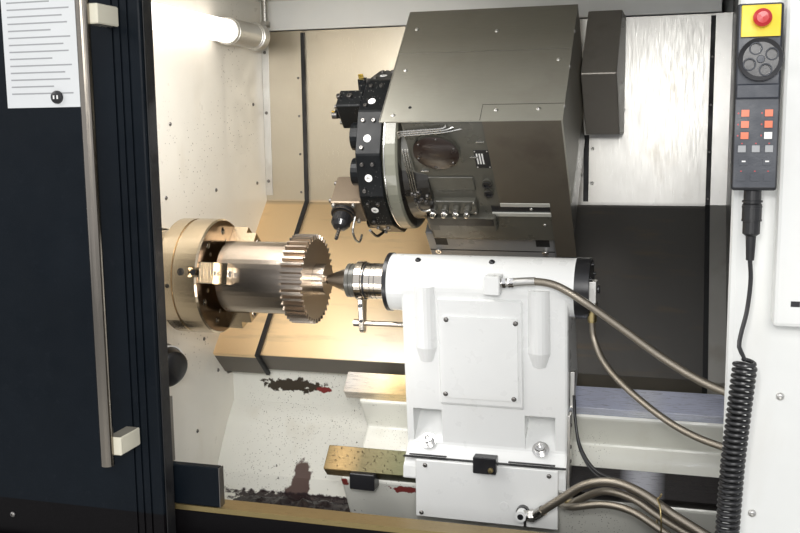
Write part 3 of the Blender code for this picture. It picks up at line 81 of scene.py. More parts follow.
class Surface:
    """A Principled material with layers of colour, grain and bump made from noise."""

    def __init__(self, name, colour, rough, metallic=0.0, coat=0.0):
        self.material = bpy.data.materials.new(name)
        self.material.use_nodes = True
        self.tree = self.material.node_tree
        self.shader = self.tree.nodes["Principled BSDF"]
        self.set("Base Color", (*colour, 1))
        self.set("Roughness", rough)
        self.set("Metallic", metallic)
        self.set("Coat Weight", coat)
        self.colour = None
        self.plain = (*colour, 1)
        self.normal = None
        self.coords = self.node("ShaderNodeTexCoord").outputs["Object"]

    def set(self, socket, value):
        self.shader.inputs[socket].default_value = value

    def node(self, kind, **settings):
        made = self.tree.nodes.new(kind)
        for key, value in settings.items():
            setattr(made, key, value)
        return made

    def link(self, source, target):
        self.tree.links.new(source, target)

    def stretch(self, scale, turn=(0, 0, 0)):
        mapping = self.node("ShaderNodeMapping")
        mapping.inputs["Scale"].default_value = scale
        mapping.inputs["Rotation"].default_value = turn
        self.link(self.coords, mapping.inputs["Vector"])
        return mapping.outputs["Vector"]

    def noise(self, scale, detail=4.0, stretch=None, rough=0.55):
        made = self.node("ShaderNodeTexNoise")
        made.inputs["Scale"].default_value = scale
        made.inputs["Detail"].default_value = detail
        made.inputs["Roughness"].default_value = rough
        self.link(self.stretch(stretch) if stretch else self.coords, made.inputs["Vector"])
        return made.outputs["Fac"]

    def ramp(self, fac, low, high, start=0.0, end=1.0):
        made = self.node("ShaderNodeMapRange")
        made.inputs["From Min"].default_value = low
        made.inputs["From Max"].default_value = high
        made.inputs["To Min"].default_value = start
        made.inputs["To Max"].default_value = end
        self.link(fac, made.inputs["Value"])
        return made.outputs["Result"]

    def times(self, a, b):
        made = self.node("ShaderNodeMath", operation="MULTIPLY")
        for socket, value in zip(made.inputs, (a, b)):
            if isinstance(value, float):
                socket.default_value = value
            else:
                self.link(value, socket)
        return made.outputs["Value"]

    def tint(self, fac, colour):
        """Lay a colour over what is there, where fac is high."""
        mix = self.node("ShaderNodeMix", data_type="RGBA")
        self.link(fac, mix.inputs["Factor"])
        if self.colour:
            self.link(self.colour, mix.inputs[6])
        else:
            mix.inputs[6].default_value = self.plain
        mix.inputs[7].default_value = (*colour, 1)
        self.colour = mix.outputs[2]
        self.link(self.colour, self.shader.inputs["Base Color"])
        return self

    def roughen(self, fac, low, high):
        self.link(self.ramp(fac, 0.3, 0.7, low, high), self.shader.inputs["Roughness"])
        return self

    def bump(self, height, strength, distance=0.001):
        made = self.node("ShaderNodeBump")
        made.inputs["Strength"].default_value = strength
        made.inputs["Distance"].default_value = distance
        self.link(height, made.inputs["Height"])
        if self.normal:
            self.link(self.normal, made.inputs["Normal"])
        self.normal = made.outputs["Normal"]
        self.link(self.normal, self.shader.inputs["Normal"])
        return self

    def either(self, a, b):
        made = self.node("ShaderNodeMath", operation="MAXIMUM")
        self.link(a, made.inputs[0])
        self.link(b, made.inputs[1])
        return made.outputs["Value"]

    def vector(self, operation, source, constant=None):
        """Vector arithmetic, giving a vector, or a number for a length or a dot product."""
        made = self.node("ShaderNodeVectorMath", operation=operation)
        self.link(source, made.inputs[0])
        if constant is not None:
            made.inputs[1].default_value = constant
        return made.outputs["Value" if operation in ("LENGTH", "DOT_PRODUCT") else "Vector"]

    def along(self, direction):
        """Distance from the spindle's origin along a direction."""
        return self.vector("DOT_PRODUCT", self.vector("SUBTRACT", self.coords, ORIGIN), direction)

    def radius(self):
        """Distance out from the spindle axis."""
        flat = self.vector("MULTIPLY", self.vector("SUBTRACT", self.coords, ORIGIN), (0, 1, 1))
        return self.vector("LENGTH", flat)

    def wave(self, value, scale, sharp=False):
        """Rings or bands along one value."""
        turn = self.node("ShaderNodeMath", operation="MULTIPLY")
        self.link(value, turn.inputs[0])
        turn.inputs[1].default_value = scale
        made = self.node("ShaderNodeMath", operation="SINE")
        self.link(turn.outputs[0], made.inputs[0])
        return self.ramp(made.outputs[0], 0.0 if sharp else -1.0, 1.0)

    def blob(self, centre, size, wobble):
        """A ragged patch round a point in machine coordinates."""
        scaled = self.vector("DIVIDE", self.vector("SUBTRACT", self.coords, at(*centre)), size)
        ragged = self.node("ShaderNodeMath", operation="MULTIPLY_ADD")
        self.link(self.noise(55.0, 5.0), ragged.inputs[0])
        ragged.inputs[1].default_value = wobble
        self.link(self.vector("LENGTH", scaled), ragged.inputs[2])
        return self.ramp(ragged.outputs[0], 1.0 + wobble / 2, 0.85 + wobble / 2)

    def within(self, *ranges, soft=0.0002):
        """1 inside every range, each a direction with its lowest and highest distance."""
        inside = None
        for direction, low, high in ranges:
            value = self.along(direction)
            for edge, step in ((low, soft), (high, -soft)):
                if edge is not None:
                    side = self.ramp(value, edge - step, edge + step)
                    inside = self.times(inside, side) if inside else side
        return inside

    def specks(self, colour, scale, size, amount=1.0):
        """Small scattered marks, such as swarf stuck to a wall."""
        cells = self.node("ShaderNodeTexVoronoi")
        cells.inputs["Scale"].default_value = scale
        self.link(self.coords, cells.inputs["Vector"])
        dots = self.ramp(cells.outputs["Distance"], size, size * 0.6)
        patches = self.ramp(self.noise(3.0, 3.0), 0.62 - 0.25 * amount, 0.72 - 0.25 * amount)
        return self.tint(self.times(dots, patches), colour)


def paint(name, colour, rough, coat=0.2, peel=0.12, vary=0.12, grime=0.0, metallic=0.0):
    """Machine enamel: faint cloudiness, orange peel and a little grime."""
    made = Surface(name, colour, rough, metallic, coat)
    darker = tuple(c * (1 - vary) for c in colour)
    made.tint(made.ramp(made.noise(5.0), 0.35, 0.75), darker)
    if grime:
        made.tint(made.ramp(made.noise(11.0, 6.0, (1, 1, 0.35)), 0.58, 0.78, 0.0, grime),
                  (colour[0] * 0.55, colour[1] * 0.46, colour[2] * 0.32))
    made.roughen(made.noise(22.0), rough * 0.8, min(rough * 1.35, 1.0))
    made.bump(made.noise(420.0, 2.0), peel, 0.0006)
    return made


def metal(name, colour, rough, grain=(1, 1, 60), strength=0.15, stain=None, metallic=1.0):
    """Bright metal with a brushed or ground grain along one direction."""
    made = Surface(name, colour, rough, metallic)
    made.tint(made.ramp(made.noise(4.0, 5.0), 0.4, 0.75, 0.0, 0.6), tuple(c * 0.72 for c in colour))
    if stain:
        made.tint(made.ramp(made.noise(9.0, 7.0), 0.56, 0.72, 0.0, 0.8), stain)
    lines = made.noise(30.0, 4.0, grain)
    made.roughen(lines, rough * 0.75, rough * 1.4)
    made.bump(lines, strength, 0.0004)
    return made


def turned_metal(name, colour, rough, pitch=9000.0, along=False):
    """Lathe-turned steel: fine rings on the faces, or fine feed lines along the length."""
    made = Surface(name, colour, rough, 1.0)
    made.tint(made.ramp(made.noise(6.0, 5.0), 0.4, 0.8, 0.0, 0.5), tuple(c * 0.7 for c in colour))
    value = made.along(RIGHT) if along else made.radius()
    rings = made.wave(value, pitch)
    made.roughen(rings, rough * 0.8, rough * 1.3)
    made.bump(rings, 0.10, 0.0003)
    return made


# Sludge and primer that show on the bed, and a near-black band along its toe: centre, half size, raggedness, colour
STAINS = [((0.084, 0.215, -0.545), (0.026, 0.060, 0.056), 1.0, (0.115, 0.075, 0.065)),
          ((0.070, 0.230, -0.585), (0.036, 0.060, 0.040), 1.0, (0.115, 0.075, 0.065)),
          ((0.020, 0.345, -0.335), (0.085, 0.060, 0.018), 2.4, (0.045, 0.034, 0.022)),
          ((0.105, 0.345, -0.342), (0.020, 0.060, 0.008), 1.8, (0.220, 0.030, 0.028)),
          ((0.150, 0.200, -0.590), (0.300, 0.050, 0.020), 1.2, (0.020, 0.010, 0.012)),
          ((0.283, -0.030, -0.440), (0.014, 0.060, 0.010), 2.2, (0.240, 0.035, 0.030)),
          ((0.430, -0.030, -0.447), (0.040, 0.060, 0.009), 2.6, (0.240, 0.035, 0.030))]


# Where the door handle's cream posts are, behind its tube
HANDLE_BACK = 0.4662
POST_HEIGHTS = (-0.241, 0.520)
POST_HALF = 0.017


def make_materials():
    m = {}
    m["casing"] = paint("casing_white", (0.80, 0.81, 0.79), 0.42, 0.15, 0.10, 0.06, 0.10)
    m["wall"] = paint("wall_cream", (0.86, 0.83, 0.75), 0.34, 0.3, 0.10, 0.06, 0.18)
    m["wall"].specks((0.16, 0.13, 0.10), 90.0, 0.16, 0.5)
    m["casting"] = paint("bed_enamel", (0.87, 0.87, 0.80), 0.36, 0.3, 0.25, 0.07, 0.25)
    m["casting"].specks((0.10, 0.08, 0.06), 170.0, 0.20, 0.55)
    casting = m["casting"]
    for centre, size, wobble, colour in STAINS:
        casting.tint(casting.blob(centre, size, wobble), colour)
    near_heap = casting.within((UP, -0.60, -0.32), (RIGHT, -0.02, 0.36), soft=0.05)
    cells = casting.noise(75.0, 3.0, rough=0.7)
    clumps = casting.times(casting.ramp(cells, 0.665, 0.70), casting.ramp(casting.noise(7.0, 2.0), 0.46, 0.56))
    casting.tint(casting.times(clumps, near_heap), (0.060, 0.055, 0.042))
    m["tailstock"] = paint("tailstock_enamel", (0.80, 0.81, 0.80), 0.30, 0.4, 0.20, 0.04, 0.10)
    m["navy"] = paint("door_navy", (0.005, 0.008, 0.012), 0.42, 0.0, 0.30, 0.25)
    m["navy"].set("Specular IOR Level", 0.12)
    m["navy"].tint(m["navy"].ramp(m["navy"].noise(60.0, 6.0), 0.60, 0.75, 0.0, 0.25), (0.014, 0.018, 0.024))
    # Painted shade: below Z -0.391, under the sill, the navy is painted near black.
    m["navy"].tint(m["navy"].within((UP, None, -0.391)), (0.003, 0.0025, 0.003))
    m["grey"] = paint("machine_grey", (0.095, 0.092, 0.078), 0.30, 0.30, 0.18, 0.2, 0.2)
    m["housing"] = paint("turret_grey", (0.098, 0.095, 0.078), 0.30, 0.30, 0.18, 0.2, 0.25)
    m["housing"].tint(m["housing"].within((RIGHT, None, 0.3806)), (0.20, 0.20, 0.16))
    # Painted shade: the neck between X 0.3806 and 0.4405, below u 0.242, is painted near black for the shade in its
    # recess.
    m["housing"].tint(m["housing"].within((RIGHT, 0.3806, 0.4405), (SLOPE, None, 0.2420)), (0.018, 0.016, 0.014))
    m["saddle"] = paint("saddle_grey", (0.24, 0.245, 0.25), 0.34, 0.2, 0.15, 0.2, 0.2)
    m["holder"] = metal("tool_holder_steel", (0.24, 0.19, 0.14), 0.34, (40, 40, 1), 0.06, (0.10, 0.07, 0.05), 0.7)
    m["strip"] = metal("ground_strip", (0.60, 0.60, 0.55), 0.45, (60, 1, 1), 0.05, None, 0.35)
    m["dark"] = metal("oily_dark_steel", (0.13, 0.125, 0.12), 0.34, (60, 1, 1), 0.12, (0.05, 0.045, 0.04), 0.8)
    m["hood"] = metal("hood_steel", (0.47, 0.46, 0.40), 0.42, (1, 50, 50), 0.05, (0.40, 0.38, 0.33), 0.6)
    # Painted shade: the hood is painted darker towards the top of its slope.
    high = m["hood"].within((SLOPE, 0.36, None), soft=0.14)
    m["hood"].tint(m["hood"].times(high, 0.75), (0.17, 0.155, 0.120))
    m["stainless"] = metal("stainless_sheet", (0.66, 0.65, 0.62), 0.36, (60, 60, 1), 0.05, (0.50, 0.47, 0.42), 0.85)
    m["cover"] = make_cover_metal()
    m["rail"] = metal("ground_rail", (0.92, 0.68, 0.34), 0.30, (1, 40, 40), 0.01, None, 0.6)
    # Painted highlight: near-white on the rails from X 0.20 to 0.31, above u -0.16.
    pale = m["rail"].within((RIGHT, 0.20, 0.31), (SLOPE, -0.16, None), soft=0.05)
    m["rail"].tint(pale, (1.0, 0.97, 0.92))
    # Painted shade: the lower rail, below u -0.20, is painted near black, lighter brown near X 0.28 and darkest
    # from X 0.37 on, under the tailstock.
    low = m["rail"].within((SLOPE, None, -0.20))
    m["rail"].tint(low, (0.10, 0.08, 0.035))
    m["rail"].tint(m["rail"].times(low, m["rail"].within((RIGHT, 0.255, 0.30), soft=0.03)), (0.42, 0.28, 0.12))
    m["rail"].tint(m["rail"].times(low, m["rail"].within((RIGHT, 0.37, None), soft=0.05)), (0.06, 0.06, 0.025))
    # Painted reflection: bluish right of X 0.70, past the tailstock, with the lower rail there painted darkest; a
    # pale painted highlight band at X 0.90 to 0.93.
    beyond = m["rail"].within((RIGHT, 0.70, None))
    m["rail"].tint(beyond, (0.60, 0.63, 0.78))
    m["rail"].tint(m["rail"].times(beyond, low), (0.030, 0.027, 0.026))
    m["rail"].tint(m["rail"].within((RIGHT, 0.90, 0.93), soft=0.03), (0.75, 0.76, 0.82))
    m["sill"] = metal("sill_rail", (0.30, 0.22, 0.10), 0.34, (1, 40, 40), 0.02, None, 0.7)
    m["sill"].tint(m["sill"].within((FORWARD, 0.3470, None)), (0.30, 0.23, 0.10))
    m["turned"] = turned_metal("turned_steel", (0.66, 0.60, 0.52), 0.16, 9000.0)
    m["turned_long"] = turned_metal("turned_along", (0.58, 0.50, 0.42), 0.22, 7000.0, True)
    m["chuck"] = turned_metal("chuck_steel", (0.68, 0.56, 0.40), 0.20, 9000.0, True)
    # Painted shade: the chuck's front face at X 0 is painted dark brown.
    m["chuck"].tint(m["chuck"].within((RIGHT, -0.0006, 0.0006)), (0.22, 0.16, 0.11))
    m["handle"] = metal("handle_chrome", (0.30, 0.27, 0.23), 0.16, (40, 40, 1), 0.03)
    lower_post, upper_post = (m["handle"].within((FORWARD, None, HANDLE_BACK), (UP, z - POST_HALF, z + POST_HALF))
                              for z in POST_HEIGHTS)
    posts = m["handle"].either(lower_post, upper_post)
    m["handle"].tint(posts, (0.78, 0.74, 0.60))
    m["handle"].link(m["handle"].ramp(posts, 1.0, 0.0), m["handle"].shader.inputs["Metallic"])
    m["bright"] = metal("bright_steel", (0.78, 0.77, 0.75), 0.20, (40, 40, 1), 0.05)
    m["zinc"] = metal("zinc_screw", (0.62, 0.61, 0.58), 0.35, (10, 10, 10), 0.05)
    m["brass"] = metal("brass_fitting", (0.62, 0.50, 0.25), 0.30, (1, 1, 40), 0.06)
    m["pipe"] = metal("steel_pipe", (0.56, 0.55, 0.52), 0.24, (20, 20, 20), 0.03)
    m["black"] = paint("black_oxide", (0.014, 0.014, 0.016), 0.32, 0.1, 0.15, 0.3)
    m["disc"] = paint("turret_black", (0.006, 0.007, 0.008), 0.36, 0.0, 0.08, 0.3)
    m["disc"].set("Specular IOR Level", 0.2)
    m["disc"].specks((0.35, 0.34, 0.32), 160.0, 0.16, 0.6)
    m["plastic"] = paint("pendant_plastic", (0.040, 0.046, 0.060), 0.42, 0.0, 0.30, 0.15)
    edge = m["plastic"].within((RIGHT, 1.0495, 1.1065), (UP, 0.2300, None))
    m["plastic"].tint(m["plastic"].ramp(edge, 1.0, 0.0), (0.008, 0.009, 0.012))
    yellow = m["plastic"].within((FORWARD, 0.4428, None), (UP, 0.4440, None))
    m["plastic"].tint(yellow, (0.86, 0.66, 0.02))
    m["rubber"] = paint("cord_rubber", (0.012, 0.012, 0.013), 0.36, 0.1, 0.10, 0.2)
    m["seal"] = paint("wiper_rubber", (0.010, 0.010, 0.011), 0.55, 0.0, 0.30, 0.3)
    m["red"] = paint("stop_red", (0.55, 0.012, 0.016), 0.30, 0.5, 0.03, 0.1)
    m["yellow"] = paint("stop_yellow", (0.82, 0.60, 0.02), 0.40, 0.2, 0.05, 0.05)
    m["green"] = paint("start_green", (0.03, 0.36, 0.10), 0.32, 0.4, 0.03, 0.1)
    m["orange"] = paint("key_orange", (0.80, 0.20, 0.10), 0.45, 0.1, 0.05, 0.05)
    m["key"] = paint("key_grey", (0.34, 0.35, 0.36), 0.45, 0.1, 0.05, 0.05)
    m["white"] = paint("label_white", (0.86, 0.86, 0.84), 0.50, 0.0, 0.04, 0.03)
    m["paper"] = paint("paper_sheet", (0.71, 0.73, 0.74), 0.80, 0.0, 0.10, 0.05, 0.15)
    # Near black, for the heap on the bed's toe.
    m["heap_black"] = paint("heap_near_black", (0.016, 0.008, 0.010), 0.36, 0.3, 1.00, 0.5)
    m["swarf"] = metal("swarf", (0.20, 0.16, 0.12), 0.35, (9, 9, 9), 0.30, (0.07, 0.05, 0.04), 0.9)
    m["braid"] = make_braid()
    m["zinc_dark"] = metal("dark_zinc", (0.22, 0.21, 0.20), 0.36, (10, 10, 10), 0.05)
    m["oxide"] = paint("oxide_cover", (0.028, 0.016, 0.013), 0.30, 0.3, 0.10, 0.35)
    m["gold"] = metal("coated_carbide", (0.80, 0.56, 0.12), 0.26, (30, 30, 30), 0.05)
    m["fold"] = metal("fold_line", (0.42, 0.41, 0.38), 0.30, (1, 40, 40), 0.05)
    m["hood_dark"] = metal("skirt_steel", (0.165, 0.145, 0.115), 0.38, (60, 60, 1), 0.05, (0.12, 0.10, 0.08), 0.6)
    m["motor_cover"] = metal("motor_cover_steel", (0.28, 0.26, 0.23), 0.40, (60, 60, 1), 0.05,
                             (0.20, 0.18, 0.16), 0.5)
    m["glass"] = make_glass("window_glass", (0.75, 0.82, 0.82), 0.08)
    m["screen"] = paint("screen_glass", (0.010, 0.013, 0.018), 0.10, 0.6, 0.02, 0.2)
    m["lamp"] = make_glow("lamp_light", (1.0, 0.93, 0.90), 2.6)
    return {key: made.material if isinstance(made, Surface) else made for key, made in m.items()}


def make_cover_metal():
    """Way-cover steel: bright above, browner towards the chuck end; on the slope a painted reflection, dark at the
    tailstock end and gold at the chuck end, with a near-white painted highlight and brown streaks.
    """
    made = metal("way_cover", (0.56, 0.55, 0.52), 0.36, (60, 60, 1), 0.05, (0.46, 0.43, 0.38), 0.9)
    # Browner towards the chuck end.
    chuck_end_tint = made.within((RIGHT, None, 0.50), soft=0.30)
    made.tint(made.times(chuck_end_tint, 0.8), (0.50, 0.44, 0.33))
    # Painted reflection on the slope below Z 0.120: dark grey, turned gold towards the chuck end.
    below = made.within((UP, None, 0.120), soft=0.008)
    left = made.within((RIGHT, None, 0.535), soft=0.085)
    made.tint(below, (0.19, 0.185, 0.18))
    made.tint(made.times(below, left), (0.95, 0.72, 0.44))
    # Painted highlight: a near-white patch low on the slope, X 0.20 to 0.50.
    pale = made.within((SLOPE, None, 0.13), (RIGHT, 0.20, 0.50), soft=0.09)
    made.tint(made.times(below, pale), (0.98, 0.90, 0.74))
    streaks = made.ramp(made.noise(9.0, 6.0, (0.6, 3.0, 3.0)), 0.56, 0.74, 0.0, 0.35)
    made.tint(made.times(below, streaks), (0.34, 0.25, 0.15))
    lip = made.within((OUT_V, None, -0.3365), (SLOPE, None, 0.02))
    made.tint(lip, (0.135, 0.120, 0.100))
    made.link(made.ramp(lip, 0.0, 1.0, 0.9, 0.3), made.shader.inputs["Metallic"])
    return made


def make_braid():
    """Steel braid on a hose, woven over the tube's own UV map."""
    made = Surface("hose_braid", (0.36, 0.32, 0.26), 0.34, 0.85)
    uv = made.node("ShaderNodeTexCoord").outputs["UV"]
    split = made.node("ShaderNodeSeparateXYZ")
    made.link(uv, split.inputs["Vector"])
    weaves = []
    for sign in (1.0, -1.0):
        lean = made.node("ShaderNodeMath", operation="MULTIPLY_ADD")
        made.link(split.outputs["Y"], lean.inputs[0])
        lean.inputs[1].default_value = sign * 14.0
        made.link(split.outputs["X"], lean.inputs[2])
        weaves.append(made.wave(lean.outputs[0], 2 * math.pi, True))
    top = made.either(*weaves)
    made.tint(made.ramp(top, 0.5, 0.0, 0.0, 0.6), (0.12, 0.105, 0.085))
    made.tint(made.ramp(made.noise(12.0), 0.5, 0.8, 0.0, 0.5), (0.22, 0.18, 0.13))
    made.bump(top, 0.35, 0.0004)
    return made


def make_glass(name, colour, rough):
    made = Surface(name, colour, rough)
    made.set("Transmission Weight", 0.9)
    made.set("IOR", 1.3)
    made.bump(made.noise(6.0), 0.02, 0.001)
    return made


def make_glow(name, colour, strength):
    made = Surface(name, (0.95, 0.93, 0.88), 0.3)
    glow = made.node("ShaderNodeMix", data_type="RGBA")
    made.link(made.ramp(made.noise(8.0), 0.3, 0.7), glow.inputs["Factor"])
    glow.inputs[6].default_value = (*colour, 1)
    glow.inputs[7].default_value = (colour[0], colour[1] * 0.97, colour[2] * 0.9, 1)
    made.link(glow.outputs[2], made.shader.inputs["Emission Color"])
    made.set("Emission Strength", strength)
    return made


M = make_materials()


# Mesh makers

def finish_mesh(name, bm, finish, body, bevel=0.0, angle=38):
    """Turn a bmesh into a piece with its finish, riding on a body."""
    mesh = bpy.data.meshes.new(name)
    bmesh.ops.recalc_face_normals(bm, faces=bm.faces)
    bm.to_mesh(mesh)
    bm.free()
    mesh.shade_smooth()
    mesh.set_sharp_from_angle(angle=math.radians(angle))
    piece = bpy.data.objects.new(name, mesh)
    bpy.context.scene.collection.objects.link(piece)
    mesh.materials.append(M[finish])
    if bevel:
        edge = piece.modifiers.new("Bevel", "BEVEL")
        edge.width, edge.segments, edge.limit_method = bevel, 2, "ANGLE"
        edge.harden_normals = True
    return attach(piece, body) if body else piece


def frame_of(direction, start):
    """A placement with its Z along a direction."""
    return Matrix.Translation(start) @ Vector(direction).to_track_quat("Z", "Y").to_matrix().to_4x4()


def add_turned(bm, profile, start, direction, steps=24):
    """Add a turned solid from (radius, distance) pairs along a direction."""
    place = frame_of(direction, start)
    rings = []
    for radius, distance in profile:
        if radius < 1e-6:
            rings.append([bm.verts.new(place @ Vector((0, 0, distance)))])
        else:
            rings.append([bm.verts.new(place @ Vector((radius * math.cos(2 * math.pi * n / steps),
                                                       radius * math.sin(2 * math.pi * n / steps), distance)))
                          for n in range(steps)])
    for low, high in zip(rings, rings[1:]):
        for n in range(steps):
            a, b = low[n % len(low)], low[(n + 1) % len(low)]
            c, d = high[(n + 1) % len(high)], high[n % len(high)]
            corners = list(dict.fromkeys((a, b, c, d)))
            if len(corners) > 2:
                bm.faces.new(corners)


def add_box(bm, low, high, turn=None):
    """Add a box between two machine-coordinate corners."""
    centre = (Vector(low) + Vector(high)) / 2
    size = Vector(high) - Vector(low)
    place = Matrix.Translation(at(*centre)) @ (turn.to_4x4() if turn else Matrix.Identity(4))
    bmesh.ops.create_cube(bm, size=1.0, matrix=place @ Matrix.Diagonal((*size, 1)))


def add_prism(bm, points, direction, depth):
    """Add a flat outline of world points, thickened along a direction."""
    face = bm.faces.new([bm.verts.new(p) for p in points])
    made = bmesh.ops.extrude_face_region(bm, geom=[face])
    bmesh.ops.translate(bm, vec=Vector(direction).normalized() * depth,
                        verts=[g for g in made["geom"] if isinstance(g, bmesh.types.BMVert)])


def add_socket_screw(bm, spot, direction, radius):
    """Cap screw head with its hexagon socket."""
    add_turned(bm, [(0, radius * 0.5), (radius * 0.5, radius * 0.55), (radius * 0.55, radius * 1.25),
                    (radius * 0.88, radius * 1.25), (radius, radius * 1.1), (radius, -0.0005)], spot, direction, 18)


def add_dome_screw(bm, spot, direction, radius):
    """Button-head screw with a small socket."""
    add_turned(bm, [(0, radius * 0.25), (radius * 0.38, radius * 0.3), (radius * 0.42, radius * 0.62),
                    (radius * 0.75, radius * 0.5), (radius, radius * 0.12), (radius, -0.0005)], spot, direction, 16)


def add_hex(bm, start, direction, radius, length):
    """Hexagon nut with chamfered ends."""
    place = frame_of(direction, start)
    rings = []
    for distance, scale in ((0, 0.9), (length * 0.12, 1.0), (length * 0.88, 1.0), (length, 0.9)):
        rings.append([bm.verts.new(place @ Vector((radius * scale * math.cos(math.pi * n / 3),
                                                   radius * scale * math.sin(math.pi * n / 3), distance)))
                      for n in range(6)])
    for low, high in zip(rings, rings[1:]):
        for n in range(6):
            bm.faces.new((low[n], low[(n + 1) % 6], high[(n + 1) % 6], high[n]))
    bm.faces.new(rings[0])
    bm.faces.new(rings[-1])


def screws(name, spots, direction, radius, finish, body, kind=add_dome_screw):
    bm = bmesh.new()
    for spot in spots:
        kind(bm, spot, direction, radius)
    return finish_mesh(name, bm, finish, body)


def turned(name, profile, start, direction, finish, body, steps=32):
    bm = bmesh.new()
    add_turned(bm, profile, start, direction, steps)
    return finish_mesh(name, bm, finish, body)


def smooth_route(points, spacing):
    """Catmull-Rom curve through points, at an even spacing."""
    points = [Vector(p) for p in points]
    ends = [points[0] * 2 - points[1]] + points + [points[-1] * 2 - points[-2]]
    fine = []
    for n in range(1, len(ends) - 2):
        a, b, c, d = ends[n - 1:n + 3]
        for step in range(20):
            t = step / 20
            fine.append(0.5 * (2 * b + (c - a) * t + (2 * a - 5 * b + 4 * c - d) * t * t
                               + (3 * b - a - 3 * c + d) * t ** 3))
    fine.append(points[-1])
    walked = [0.0]
    for before, after in zip(fine, fine[1:]):
        walked.append(walked[-1] + (after - before).length)
    count = max(2, round(walked[-1] / spacing))
    route, n = [], 0
    for step in range(count + 1):
        goal = walked[-1] * step / count
        while n < len(fine) - 2 and walked[n + 1] < goal:
            n += 1
        share = (goal - walked[n]) / (walked[n + 1] - walked[n])
        route.append(fine[n].lerp(fine[n + 1], min(share, 1.0)))
    return route


def add_tube(bm, route, radius, sides=10):
    """Sweep a round section along world points, with a UV map for woven covers."""
    uv = bm.loops.layers.uv.verify()
    tangents = [(b - a).normalized() for a, b in zip(route, route[1:])]
    tangents.append(tangents[-1])
    side = tangents[0].orthogonal().normalized()
    rings, gone = [], 0.0
    for n, point in enumerate(route):
        if n:
            gone += (point - route[n - 1]).length
        along = (tangents[max(n - 1, 0)] + tangents[n]).normalized()
        side = (side - along * side.dot(along)).normalized()
        other = along.cross(side)
        rings.append((gone, [bm.verts.new(point + radius * (side * math.cos(2 * math.pi * k / sides)
                                                            + other * math.sin(2 * math.pi * k / sides)))
                             for k in range(sides)]))
    for (before, low), (after, high) in zip(rings, rings[1:]):
        for k in range(sides):
            face = bm.faces.new((low[k], low[(k + 1) % sides], high[(k + 1) % sides], high[k]))
            for loop, (u, v) in zip(face.loops, ((before, k), (before, k + 1), (after, k + 1), (after, k))):
                loop[uv].uv = (u / (radius * 0.9), v / sides)
    bm.faces.new(rings[0][1])
    bm.faces.new(rings[-1][1])


def tube(name, points, radius, finish, body, spacing=0.008, sides=12):
    bm = bmesh.new()
    add_tube(bm, smooth_route([at(*p) for p in points], spacing), radius, sides)
    return finish_mesh(name, bm, finish, body)


def lettering(name, text, spot, direction, size, finish, body, turn=0.0):
    """A generic number as a thin raised mesh."""
    curve = bpy.data.curves.new(name, "FONT")
    curve.body = text
    curve.size = size
    curve.align_x = curve.align_y = "CENTER"
    curve.extrude = 0.0002
    drawn = bpy.data.objects.new(name, curve)
    bpy.context.scene.collection.objects.link(drawn)
    bpy.context.view_layer.update()
    mesh = bpy.data.meshes.new_from_object(drawn.evaluated_get(bpy.context.evaluated_depsgraph_get()))
    bpy.data.objects.remove(drawn)
    out = Vector(direction).normalized()
    up = (UP - out * UP.dot(out)).normalized()
    basis = Matrix((up.cross(out), up, out)).transposed().to_4x4()
    mesh.transform(Matrix.Translation(spot) @ basis @ Matrix.Rotation(turn, 4, "Z"))
    piece = bpy.data.objects.new(name, mesh)
    bpy.context.scene.collection.objects.link(piece)
    mesh.materials.clear()
    mesh.materials.append(M[finish])
    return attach(piece, body)


# Camera first

def make_camera():
    """The photograph's camera, solved from the chuck, rails and covers."""
    data = bpy.data.cameras.new("photo_camera")
    data.sensor_width = 36.0
    data.lens = 44.0
    camera = bpy.data.objects.new("photo_camera", data)
    bpy.context.scene.collection.objects.link(camera)
    camera.location = at(0.986057, -1.950477, 0.323066)
    camera.rotation_euler = (math.radians(81.8774), math.radians(0.7019), math.radians(16.3448))
    bpy.context.scene.camera = camera


make_camera()


# Pendant cord

CORD_RADIUS = 0.0033
COIL_RADIUS = 0.0185
LEAD = [(1.078, -0.4175, 0.1197), (1.080, -0.4175, 0.088), (1.076, -0.424, 0.044), (1.068, -0.436, 0.010),
        (1.066, -0.446, -0.008), (1.074, -0.450, -0.0215)]
COIL = [(1.0755, -0.450, -0.024), (1.0715, -0.450, -0.070), (1.068, -0.450, -0.115), (1.063, -0.450, -0.180),
        (1.060, -0.450, -0.250), (1.057, -0.450, -0.330), (1.052, -0.450, -0.430), (1.050, -0.450, -0.520)]
TAIL = [(1.050, -0.450, -0.522), (1.051, -0.449, -0.560), (1.058, -0.440, -0.600), (1.068, -0.418, -0.628),
        (1.074, -0.396, -0.638), (1.075, -0.3745, -0.640)]
TURNS = 56


def make_cord():
    """The whole lead: from the column's gland, up the curly part, to the pendant's plug."""
    middle = smooth_route([at(*p) for p in COIL], 0.001)
    reach = COIL_RADIUS - CORD_RADIUS
    count = TURNS * 16
    curl = []
    for step in range(count + 1):
        share = step / count
        spot = share * (len(middle) - 1)
        n = min(int(spot), len(middle) - 2)
        along = (middle[n + 1] - middle[n]).normalized()
        side = along.cross(FORWARD).normalized()
        other = along.cross(side)
        grow = min(1.0, share * TURNS / 0.7 + 0.1, (1 - share) * TURNS / 0.7 + 0.1)
        angle = 2 * math.pi * TURNS * share
        curl.append(middle[n].lerp(middle[n + 1], spot - n)
                    + reach * grow * (side * math.cos(angle) + other * math.sin(angle)))
    top = smooth_route([at(*p) for p in LEAD], 0.009)[:-1]
    low = smooth_route([at(*p) for p in TAIL], 0.009)[1:]
    path = list(reversed(top + curl + low))
    bm = bmesh.new()
    add_tube(bm, path, CORD_RADIUS, 8)
    cord = finish_mesh("pendant_cord", bm, "rubber", "frame")
    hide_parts("pendant_lead", "pendant_coil", "pendant_tail")


make_cord()


# Finishes for the CAD nodes

